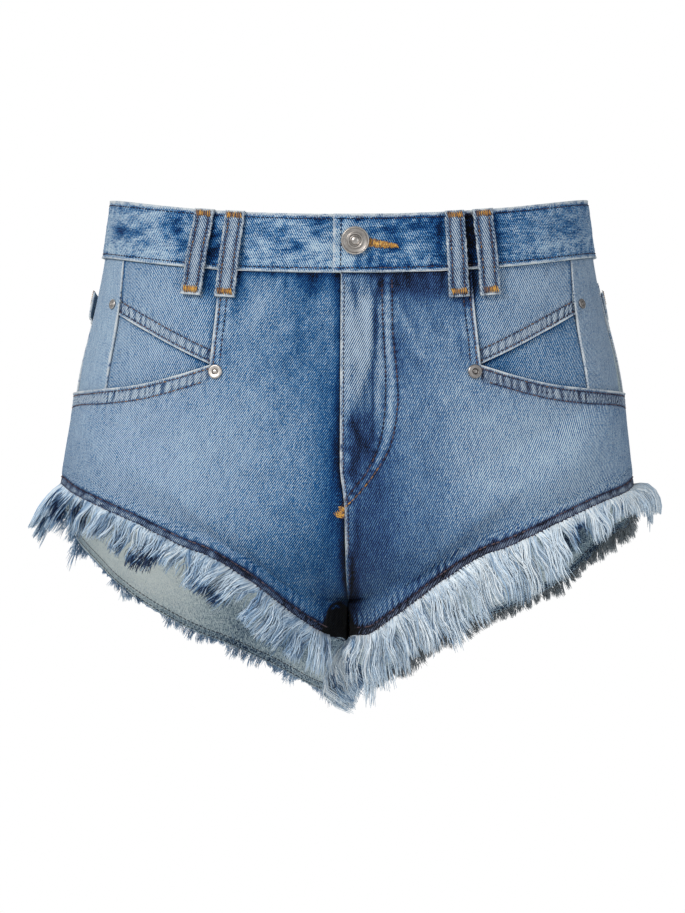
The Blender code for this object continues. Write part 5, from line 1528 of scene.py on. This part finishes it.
def build_loop(name, side, top_across, bottom_across, at_back, thread):
    """A belt loop, from above the band's top down to the cloth below it, standing off between its ends."""
    top, bottom = BAND_HEIGHT + LOOP_PAST_TOP, -LOOP_PAST_BAND
    end = LOOP_END / (top - bottom)
    EDGE, SHARE = np.meshgrid(np.linspace(-1, 1, LOOP_COLUMNS), graded(0, 1, top - bottom, 0.0010, True, True))
    across = mix(top_across, bottom_across, SHARE) + EDGE * LOOP_WIDTH / 2
    above = mix(top, bottom, SHARE)
    around = around_for(across)
    if at_back:
        around = 1 - around
    arch = np.sin(math.pi * ramp(SHARE, 0.02, 0.98))
    base = LOOP_CLEAR + LOOP_STANDS_OFF * arch**0.7
    at_end = 1 - ramp(np.minimum(SHARE, 1 - SHARE), end, end * 1.25)
    wall = mix(LOOP_CLOTH, LOOP_END_CLOTH, at_end)
    on_band = BAND_CROWN + (band_out(side, across) if not at_back else BAND_OUT)
    upper, upper_normal = band_point(side, around, np.maximum(above, 0.0) / BAND_HEIGHT, on_band + base + wall)
    height = band_middle(around) - BAND_HEIGHT / 2 + np.minimum(above, 0.0)
    lower, lower_normal = cloth_frame(side, around, down_to(side, around, height))
    slope = ramp(-above, 0.0, LOOP_PAST_BAND)
    lower = lower + lower_normal * (mix(BAND_OUT, RIDGE, slope) + base + wall)[..., None]
    is_up = (above >= 0)[..., None]
    sheet = Sheet(np.where(is_up, upper, lower), unit(np.where(is_up, upper_normal, lower_normal)), wall, side)
    seed = 210 + sum(map(ord, name)) % 50
    dress(sheet, seed, LOOP_BASE[side], mottle=0.07)
    sheet.grey = 0.28
    off = np.abs(EDGE) * LOOP_WIDTH / 2
    sew(sheet, "belt_loop", off, sheet.below)
    pucker(sheet, off, sheet.below, 0.0030, 0.0057, 0.0022, 0.20, 0.00016, seed)
    worn_edge(sheet, LOOP_WIDTH / 2 - off, sheet.below, 0.0012, 0.66, seed + 1)
    ends = np.minimum(sheet.from_row(0), sheet.from_row(-1))
    worn_edge(sheet, ends, off, 0.0018, 0.9, seed + 2)
    sheet.worn += 0.30 * bell(off, 0, 0.0008) * np.clip(noise(seed + 4, sheet.below / 0.004), 0, 1)
    fine = noise(seed + 3, sheet.below / 0.0011, EDGE * 2)
    edge_fray = 0.00035 * ramp(np.abs(EDGE), 0.86, 1.0) * fine
    sideways = unit(np.gradient(sheet.outer, axis=1))
    sheet.outer = sheet.outer + sideways * (np.sign(EDGE) * edge_fray)[..., None]
    sheet.build("belt_loop", name)
    points, normals, middle = sheet.points(), sheet.normals, LOOP_COLUMNS // 2
    for n, column in enumerate(LOOP_STITCHED):
        thread.row(points[6:-6, column], normals[6:-6, column], 0.34, 0.0024, 0.00031, 0.24, seed + n)
    for n, share in enumerate(LOOP_TACKS):
        i = int(np.argmin(np.abs(SHARE[:, 0] - share)))
        up, along = normals[i, middle], points[i, middle + 3] - points[i, middle - 3]
        thread.bar(points[i, middle] + up * 0.00025, along * side, up, 0.0084, 0.0040, 0.62, seed=seed + 5 + n)


# ---------------------------------------------------------------- the fly's stitching, bartacks and buttonhole


def smooth_line(points, step=0.0012):
    """A smooth path through a few places, close enough together to lay thread along."""
    points = np.array(points, float)
    run = run_along(points)
    rows = np.column_stack([run, points])
    fine = np.arange(0.0, run[-1], step)
    return np.column_stack([smooth_curve(rows, n, fine) for n in (1, 2)])


def laid_on(tree, places):
    """Drops (across, height) places onto cloth from the front."""
    points, facing = [], []
    for across, height in places:
        hit, normal, *_ = tree.ray_cast(Vector((across, -0.5, height)), Vector((0.0, 1.0, 0.0)))
        if hit is not None:
            points.append(hit), facing.append(normal if normal.y < 0 else -normal)
    return np.array(points), np.array(facing)


def tree_of(*sheets):
    """The sheets' outer faces, for finding places on them."""
    points, faces, offset = [], [], 0
    for sheet in sheets:
        points.append(sheet.points().reshape(-1, 3))
        faces.append(offset + grid_quads(sheet.rows, sheet.columns)[sheet.keep])
        offset += sheet.rows * sheet.columns
    return BVHTree.FromPolygons(np.concatenate(points).tolist(), np.concatenate(faces).tolist())


FLY_TACKS = (  # (lift, along, length, height, tint, taper, seed)
    (0.0004, (1.0, 0.0, 0.55), 0.0080, 0.0042, 0.66, 0.6, 236),
    (0.0007, (0.5, 0.0, 1.0), 0.0062, 0.0040, 0.70, 1.0, 237),
    (0.0007, (-0.4, 0.0, 1.0), 0.0066, 0.0022, 0.60, 1.0, 240),
)
BUTTONHOLE = (  # the same, for the buttonhole's end that shows beside the button
    (0.0004, (1.0, 0.0, -0.10), 0.0196, 0.0070, 0.60, 0.34, 238),
    (0.0007, (1.0, 0.0, -0.10), 0.0180, 0.0046, 0.70, 0.34, 239),
)
J_TURN = -0.142  # below this height the fly's stitching is worn pale


def build_fly_stitching(fronts, band, thread):
    tree = tree_of(*fronts)
    for n, line in enumerate((J_INNER, J_OUTER)):
        points, facing = laid_on(tree, smooth_line(line))
        low = points[:, 2] < J_TURN
        upper, lower = (~low, 0.12 + 0.06 * n, 0.00040, 230), (low, 0.26 + 0.26 * n, 0.00038 + 0.00004 * n, 232)
        for shown, tint, radius, seed in (upper, lower):
            thread.row(points[shown], facing[shown], tint, radius=radius, fill=0.96, seed=seed + n)
    for cloth, place, bars, pitch in (
        (tree, J_END, FLY_TACKS, 0.00055), (tree_of(band), BUTTONHOLE_END, BUTTONHOLE, 0.0005),
    ):
        points, facing = laid_on(cloth, place)
        for lift, along, length, height, tint, taper, seed in bars:
            centre, up = points[0] + facing[0] * lift, facing[0]
            thread.bar(centre, along, up, length, height, tint, pitch, taper=taper, seed=seed)


# ---------------------------------------------------------------- frayed ends

FRINGE = (  # (panel, side, strands, length, length at the side, lean outwards, lean out at the side, thickness)
    ("front", LEFT, 3200, 0.0248, 0.0240, 0.14, 0.55, 0.00022),
    ("front", RIGHT, 3200, 0.0235, 0.0270, 0.40, 0.62, 0.00021),
    ("back", LEFT, 3600, 0.0118, 0.0078, 0.0, 0.35, 0.00018),
    ("back", RIGHT, 2200, 0.0064, 0.0055, 0.0, 0.35, 0.00018),
)
FRINGE_LENGTHS = (  # (panel, side, around, half width, share of the length there)
    ("front", RIGHT, 0.452, 0.008, 0.45), ("front", RIGHT, 0.405, 0.006, 0.60), ("front", RIGHT, 0.262, 0.007, 0.66),
    ("front", RIGHT, 0.190, 0.007, 0.70), ("front", RIGHT, 0.330, 0.020, 0.88), ("front", RIGHT, 0.120, 0.030, 1.08),
    ("front", LEFT, 0.332, 0.017, 0.40), ("front", LEFT, 0.400, 0.048, 0.56), ("front", LEFT, 0.275, 0.032, 1.16),
    ("front", LEFT, 0.198, 0.052, 1.40), ("front", LEFT, 0.096, 0.044, 1.46),
    ("back", RIGHT, 0.680, 0.026, 0.45), ("back", RIGHT, 0.600, 0.014, 0.80), ("back", RIGHT, 0.555, 0.040, 2.9),
    ("back", RIGHT, 0.755, 0.018, 1.10), ("back", RIGHT, 0.860, 0.012, 0.55), ("back", RIGHT, 0.905, 0.016, 1.40),
    ("back", LEFT, 0.925, 0.055, 0.40), ("back", LEFT, 0.735, 0.045, 0.68), ("back", LEFT, 0.650, 0.030, 0.70),
)
FRINGE_DARKS = (  # painted shade, where threads are darkened for the shadowed gaps between locks: (side, around, half width, from, to, as shares of the thread's length)
    (RIGHT, 0.462, 0.007, 0.20, 0.50), (RIGHT, 0.432, 0.014, 0.36, 0.66), (RIGHT, 0.388, 0.010, 0.26, 0.66),
    (RIGHT, 0.285, 0.020, 0.82, 1.0), (RIGHT, 0.215, 0.014, 0.84, 1.0), (LEFT, 0.330, 0.018, 0.70, 1.0),
)
SIDE_FALL = {  # where the threads by a side seam head, at first and at their ends
    LEFT: ((0.8, 0.0, 0.7), (-0.25, 0.0, -1.2)),
    RIGHT: ((-0.85, 0.0, -0.55), (-0.45, 0.0, -1.0)),
}
CLUMP = 0.0060  # a lock's width along the hem
CENTRE_GAP = 0.0105  # the right leg's hem has no threads this near the middle
ROOT_DEPTH = 0.0012  # how far up in the cloth the threads begin
STEPS = {"front": 6, "back": 3}  # a thread's straight pieces
BEND = {"front": 7, "back": 4}  # how far a thread bends in all
THICK_SHARE, THICKER = {"front": 0.40, "back": 0.0}, 1.65
SHORT_SHARE, LOOSE_SHARE, BLUE_SHARE = 0.35, 0.03, 0.07


def hem_places(sheet, panel, side):
    """How far around the garment each point of a panel's hem lies."""
    known = np.linspace(*((0.0, SIDE_SEAM) if panel == "front" else (SIDE_SEAM, 1.0)), 200)
    known_x = surface(side, known, np.ones(len(known)))[:, 0]
    order = np.argsort(known_x)
    return np.interp(np.abs(sheet.outer[-1, :, 0]), known_x[order], known[order])


def fringe_lengths(panel, side, random, at, place, locks, usual):
    """How long each thread is, and whether it is one of the thick ones."""
    count = len(at)
    long = usual * (1 + 0.16 * locks[:, 0] + 0.12 * random.uniform(-1, 1, count))
    for there, there_side, middle, half, share in FRINGE_LENGTHS:
        if (there, there_side) == (panel, side):
            long *= mix(1.0, share, plateau(place, middle, half))
    if panel == "back":
        uneven = 0.6 * noise(360 + side, at / 0.009) + 0.3 * noise(361, at / 0.003)
        long *= np.clip(0.72 + uneven, 0.15, 2.0) if side == RIGHT else 0.88 + 0.18 * uneven
    thick = random.uniform(0, 1, count) < THICK_SHARE[panel]
    short = ~thick & (random.uniform(0, 1, count) < SHORT_SHARE)
    long *= np.where(short, random.uniform(0.35, 0.8, count), 1.0)
    return long, thick


def fringe_tints(panel, side, random, at, place, locks, depth, thick, own, shares):
    """Each thread's tint along its length: pale, with some blue threads, and painted shade on threads that start deep
    in the cloth and where the gaps between locks lie in shadow.
    """
    count = len(at)
    # threads that start deeper in the cloth are painted darker, as shade
    pale = 0.70 + 0.07 * locks[:, 3] + 0.07 * random.normal(0, 1, count) + 0.16 * thick - 0.26 * depth
    pale = np.where(random.uniform(0, 1, count) < BLUE_SHARE, pale - 0.34, pale)
    if panel == "back":
        pale = pale - 0.10
    elif side == RIGHT:
        # on the right leg, patches of threads are painted dark as shade between locks, and the rest a little darker
        pale = np.where(noise(362, at / 0.0035, depth * 2) < -0.30, pale - 0.34, pale - 0.08)
    else:
        pale = pale + 0.06
    tint = pale[:, None] - 0.06 * (shares - 0.3) + 0.10 * np.sin(own[:, None] + 9 * shares)
    # painted shade where the gaps between locks are dark
    for there_side, middle, half, start, end in FRINGE_DARKS:
        if (panel, there_side) == ("front", side):
            inside = ramp(shares, start - 0.08, start + 0.02) * (1 - ramp(shares, end - 0.02, end + 0.08))
            tint = tint - (plateau(place, middle, half) * np.where(thick, 0.75, 1.0))[:, None] * inside
    return tint


def build_fringe(panel, side, count, length, length_at_side, outwards, side_lean, thickness, sheet):
    """Frayed threads that hang from a panel's hem, in loose, wavy locks."""
    random = scatter(300 + 10 * side + (panel == "back"))
    edge, normal = sheet.points()[-1], sheet.normals[-1]
    tangent = unit(np.gradient(edge, axis=0))
    away = unit(np.cross(tangent, normal))
    away *= np.sign((away * (sheet.outer[-1] - sheet.outer[-4])).sum(-1))[:, None]
    run = run_along(edge)
    at = np.sort(random.uniform(0.0, run[-1], count))
    if (panel, side) == ("front", RIGHT):
        at = at[np.interp(at, run, np.abs(edge[:, 0])) > CENTRE_GAP]
        count = len(at)
    root = read_at(at, run, edge)
    out, fall, along = (unit(read_at(at, run, way)) for way in (normal, away, tangent))
    place = np.interp(at, run, hem_places(sheet, panel, side))
    at_side = bell(place, 0.5, 0.075)

    # each thread belongs to a lock, whose threads bend alike and draw together at their tips
    reach = at + 0.0012 * random.normal(0, 1, count) + 0.003 * noise(310 + side, at / 0.013)
    lock = np.clip(np.floor(reach / CLUMP), 0, None).astype(int)
    locks = scatter(320 + side).uniform(-1, 1, (lock.max() + 2, 9))[lock]
    centre = (lock + 0.5 + 0.25 * locks[:, 4]) * CLUMP

    long, thick = fringe_lengths(panel, side, random, at, place, locks, mix(length, length_at_side, at_side))
    depth = np.where(thick, 0.35, 1.0) * random.uniform(0.0, 1.0, count)
    root = root - out * (CLOTH * depth)[:, None] - fall * ROOT_DEPTH
    spread = ramp(place, 0.02, 0.14) if panel == "front" else 0.0
    lean = outwards * spread + 0.16 * noise(330 + side, at / 0.022) + 0.15 * locks[:, 1]
    lean = lean + 0.05 * random.normal(0, 1, count)
    flare = mix(0.10, side_lean, at_side) + 0.16 * (0.5 - depth) + 0.10 * locks[:, 2]
    loose = random.uniform(0, 1, count) < LOOSE_SHARE
    wild = np.where(loose, 0.26, 0.05)[:, None] * random.normal(0, 1, (count, 3))
    heading = unit(fall + along * lean[:, None] + out * flare[:, None] + wild * (3.0 if panel == "back" else 1.0))
    droop = (0.10 if side == LEFT else 0.035) * random.uniform(0.6, 1.5, count)
    sway = FULL_TURN * (locks[:, 5:7] + 0.07 * random.normal(0, 1, (count, 2)))
    own = random.uniform(0, FULL_TURN, count)
    bend = 0.20 + 0.14 * np.abs(locks[:, 7])

    steps = STEPS[panel]
    path = [root]
    for share in np.arange(steps) / steps:
        curl = np.sin(sway[:, 0] + 7.5 * share) * bend + 0.10 * np.sin(own + 11 * share)
        lift = np.sin(sway[:, 1] + 6.5 * share) * bend * 0.8
        turn = along * curl[:, None] + out * lift[:, None] + np.outer(droop, (0, 0, -1.0))
        heading = unit(heading + BEND[panel] / steps * turn)
        if panel == "front":  # by the side seam the threads stand out, then fall
            beside = mix(*np.array(SIDE_FALL[side]), share**0.45)
            heading = unit(mix(heading, beside, 0.75 * at_side[:, None] ** 2))
        path.append(path[-1] + heading * (long / steps)[:, None])
    path, shares = np.stack(path, 1), np.linspace(0, 1, steps + 1)
    pull = 0.66 * np.clip(centre - at, -0.8 * CLUMP, 0.8 * CLUMP) * np.where(loose, 0.2, 1.0)
    path += along[:, None] * (pull[:, None] * shares**1.3)[..., None]

    tint = fringe_tints(panel, side, random, at, place, locks, depth, thick, own, shares)
    return hang(path, out, thickness * np.where(thick, THICKER, 1.0), tint)


def hang(path, out, thickness, tint):
    """Closed threads along paths (n, k, 3), thinner at their tips."""
    along = unit(np.gradient(path, axis=1))
    across = unit(np.cross(along, out[:, None]))
    radii = np.tile(thickness[:, None], (1, path.shape[1]))
    radii[:, -1] *= STRAND_TIP
    points, quads, first, last = tube(path, across, np.cross(across, along), radii, STRAND_SIDES)
    return points, [quads, first, last], np.repeat(tint.ravel(), STRAND_SIDES)


TUFT_PATHS = (  # in mm from their roots: the threads that curl across the middle, and the ones beyond them
    (
        (0, 0, 0), (-3, -5, 3.2), (-8, -7, 0), (-12.5, -8, -8),
        (-15, -7, -17), (-14, -6, -25), (-8, -6, -31), (-1, -5, -35),
    ),
    (
        (0, 0, 0), (1, -3, -5), (-1, -5, -11), (-3, -5, -16),
        (-1, -5, -21), (3, -4, -26), (5, -4, -29), (3, -4, -32),
    ),
)
TUFT_COUNT, TUFT_START, TUFT_REACH = 960, 0.0015, 0.046  # how many, and from where to where along the hem
TUFT_LOCK, TUFT_LOCKS = 0.0024, 21  # a lock's width, and how many there are
TUFT_THICKNESS, TUFT_THICKER = 0.00019, 1.7


def build_tuft(sheet):
    """The long threads by the left leg's inseam, which curl across the middle."""
    random, count = scatter(340), TUFT_COUNT
    edge, normal = sheet.points()[-1], sheet.normals[-1]
    run = run_along(edge)
    at = np.sort(random.uniform(TUFT_START, TUFT_REACH, count))
    root, out = read_at(at, run, edge) + np.array((0.0, -0.0006, 0.0006)), unit(read_at(at, run, normal))
    curled, straight = (np.array(path, float) / 1000 for path in TUFT_PATHS)
    lock = np.floor(at / TUFT_LOCK + 0.3 * random.normal(0, 1, count)).astype(int).clip(0, TUFT_LOCKS - 1)
    locks = scatter(341).uniform(-1, 1, (TUFT_LOCKS, 6))[lock]
    share = np.clip(at / TUFT_REACH + 0.10 * locks[:, 0], 0.0, 1.0)[:, None, None]
    shares = np.linspace(0, 1, len(curled))
    long = 1 + 0.08 * locks[:, 1] - 0.35 * random.uniform(0, 1, count) ** 3
    path = mix(curled, straight, share) * long[:, None, None]
    drift = random.normal(0, 1, (count, 3)) * 0.0011 + locks[:, 2:5] * np.array((0.0022, 0.0012, 0.0016))
    wave = np.sin(FULL_TURN * (locks[:, 5:6] + 0.08 * random.normal(0, 1, (count, 1))) + 13 * shares) * 0.0015
    path = path + drift[:, None] * shares[:, None] ** 0.7 + wave[..., None] * np.array((1.0, 0.5, 0.2))
    thick = random.uniform(0, 1, count) < 0.5
    pale = 0.67 + 0.10 * locks[:, 3] + 0.08 * random.normal(0, 1, count) + 0.16 * thick
    pale = np.where((random.uniform(0, 1, count) < 0.16) | (locks[:, 3] < -0.55), pale - 0.42, pale)
    tint = pale[:, None] + 0.16 * np.sin(6 * shares + 3 * locks[:, 4:5])
    return hang(root[:, None] + path, out, TUFT_THICKNESS * np.where(thick, TUFT_THICKER, 1.0), tint)


def join_parts(parts):
    """One set of points, faces and tints from several."""
    points, faces, tints, offset = [], [], [], 0
    for part_points, part_faces, part_tint in parts:
        points.append(part_points), tints.append(part_tint)
        faces.extend(f + offset for f in part_faces)
        offset += len(part_points)
    return np.concatenate(points), faces, np.concatenate(tints)


# ---------------------------------------------------------------- metal


def turned(name, node, profile, sides, point, normal, scale=1.0, material="metal"):
    """A turned piece, smooth round and along its (radius, height) profile, in place of its solid."""
    foot, *body, head = smooth_profile(np.array(profile) * scale)
    turn = np.arange(sides) * FULL_TURN / sides
    rings = [np.column_stack([np.cos(turn) * r, np.sin(turn) * r, np.full(sides, h)]) for r, h in body]
    points = np.concatenate([[(0.0, 0.0, foot[1])], *rings, [(0.0, 0.0, head[1])]])
    index = 1 + np.arange(len(body) * sides).reshape(len(body), sides)
    lowest, highest = np.zeros(sides, int), np.full(sides, len(points) - 1)
    cap = np.stack([np.roll(index[0], -1), index[0], lowest], -1)
    tip = np.stack([index[-1], np.roll(index[-1], -1), highest], -1)
    turn_to = np.array(Vector(normal).to_track_quat("Z", "Y").to_matrix())
    points = points @ turn_to.T + np.array(point)
    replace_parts(add_mesh(name, points, [ring_quads(index), cap, tip], [material]), node)


def smooth_profile(profile):
    """Rounds a profile's corners a little."""
    rows = [profile[0]]
    for before, corner, after in zip(profile, profile[1:], profile[2:]):
        for toward, share in ((before, 0.22), (before, 0.08), (after, 0.08), (after, 0.22)):
            rows.append(mix(corner, toward, share))
    return [*rows, profile[-1]]


BUTTON_SIDES, RIVET_SIDES = 64, 40
BUTTON_PROFILE = (
    (0.0, 0.0000), (0.0031, 0.0000), (0.0031, 0.0013), (0.0078, 0.0014), (0.0084, 0.0021), (0.0083, 0.0029),
    (0.0077, 0.0033), (0.0071, 0.0026), (0.0054, 0.0023), (0.0049, 0.0024), (0.0045, 0.0031), (0.0039, 0.0030),
    (0.0034, 0.0021), (0.0028, 0.0022), (0.0020, 0.0031), (0.0010, 0.0034), (0.0, 0.0035),
)
RIVET_PROFILE = (
    (0.0, 0.0000), (0.0043, 0.0000), (0.0042, 0.0006), (0.0036, 0.0010), (0.0019, 0.0009), (0.0016, 0.0004),
    (0.0011, 0.0011), (0.0, 0.0013),
)


def build_metal(plans):
    """The button and the rivets, each standing on the cloth that it pins."""
    across, height = BUTTON_PLACE
    around = around_for(across)
    up = (height - band_middle(around)) / BAND_HEIGHT + 0.5
    out = band_out(LEFT, across) + BAND_CROWN + 2 * SEAM_GAP
    point, normal = band_point(LEFT, around, up, out)
    turned("metal_button", "button", BUTTON_PROFILE, BUTTON_SIDES, point, normal)
    for plan in plans:
        for label, place, on_side, scale in (
            ("mouth", MOUTH_RIVET, False, 1.0),
            ("coin", COIN_RIVET, True, COIN_RIVET_SCALE),
        ):
            around, down = place_of(plan.side, *place)
            out = plan.side_out(around, down) + LOW_RIDGE if on_side else RIDGE
            point, normal = cloth_frame(plan.side, around, down)
            node = f"rivet_{label}_{SIDES[plan.side]}"
            material = "dull_metal" if plan.side == LEFT else "metal"
            point = point + normal * (out + SEAM_GAP)
            turned(f"metal_{node}", node, RIVET_PROFILE, RIVET_SIDES, point, normal, scale, material)


# ---------------------------------------------------------------- everything


def main():
    build_stage()
    thread_front, thread_back, thread_band = Thread("thread_front"), Thread("thread_back"), Thread("thread_band")
    plans = {side: FrontPlan(side) for side in SIDES}
    fronts, backs, bands = {}, {}, {}
    for side, plan in plans.items():
        fronts[side] = build_front(plan, thread_front)
        build_coin_pocket(plan, thread_front)
        build_facing(plan)
        build_side_panel(plan)
        build_yoke(side)
        backs[side] = build_back(side, thread_back)
        build_back_pocket(side, thread_back)
        bands[side] = build_waistband(side, thread_band)
    for loop in LOOPS:
        build_loop(*loop, thread_band)
    build_fly_stitching([fronts[LEFT], fronts[RIGHT]], bands[LEFT], thread_front)
    for thread in (thread_front, thread_back, thread_band):
        thread.build()
    for panel, side, *sizes in FRINGE:
        sheet = (fronts if panel == "front" else backs)[side]
        parts = [build_fringe(panel, side, *sizes, sheet)]
        if (panel, side) == ("front", LEFT):
            parts.append(build_tuft(sheet))
        points, faces, tints = join_parts(parts)
        node = f"fringe_{panel}_{SIDES[side]}"
        # the left back leg's threads are painted grey, partly as shade
        material = "shaded_fringe" if (panel, side) == ("back", LEFT) else "fringe"
        piece = add_mesh(f"threads_{node}", points, faces, [material], attributes={"tint": tints})
        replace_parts(piece, node)
    build_metal(plans.values())
    for node in ("zip", "fly_underlap"):
        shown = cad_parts[node]
        shown.data.materials.clear()
        shown.data.materials.append(MATERIALS["inside"])


main()
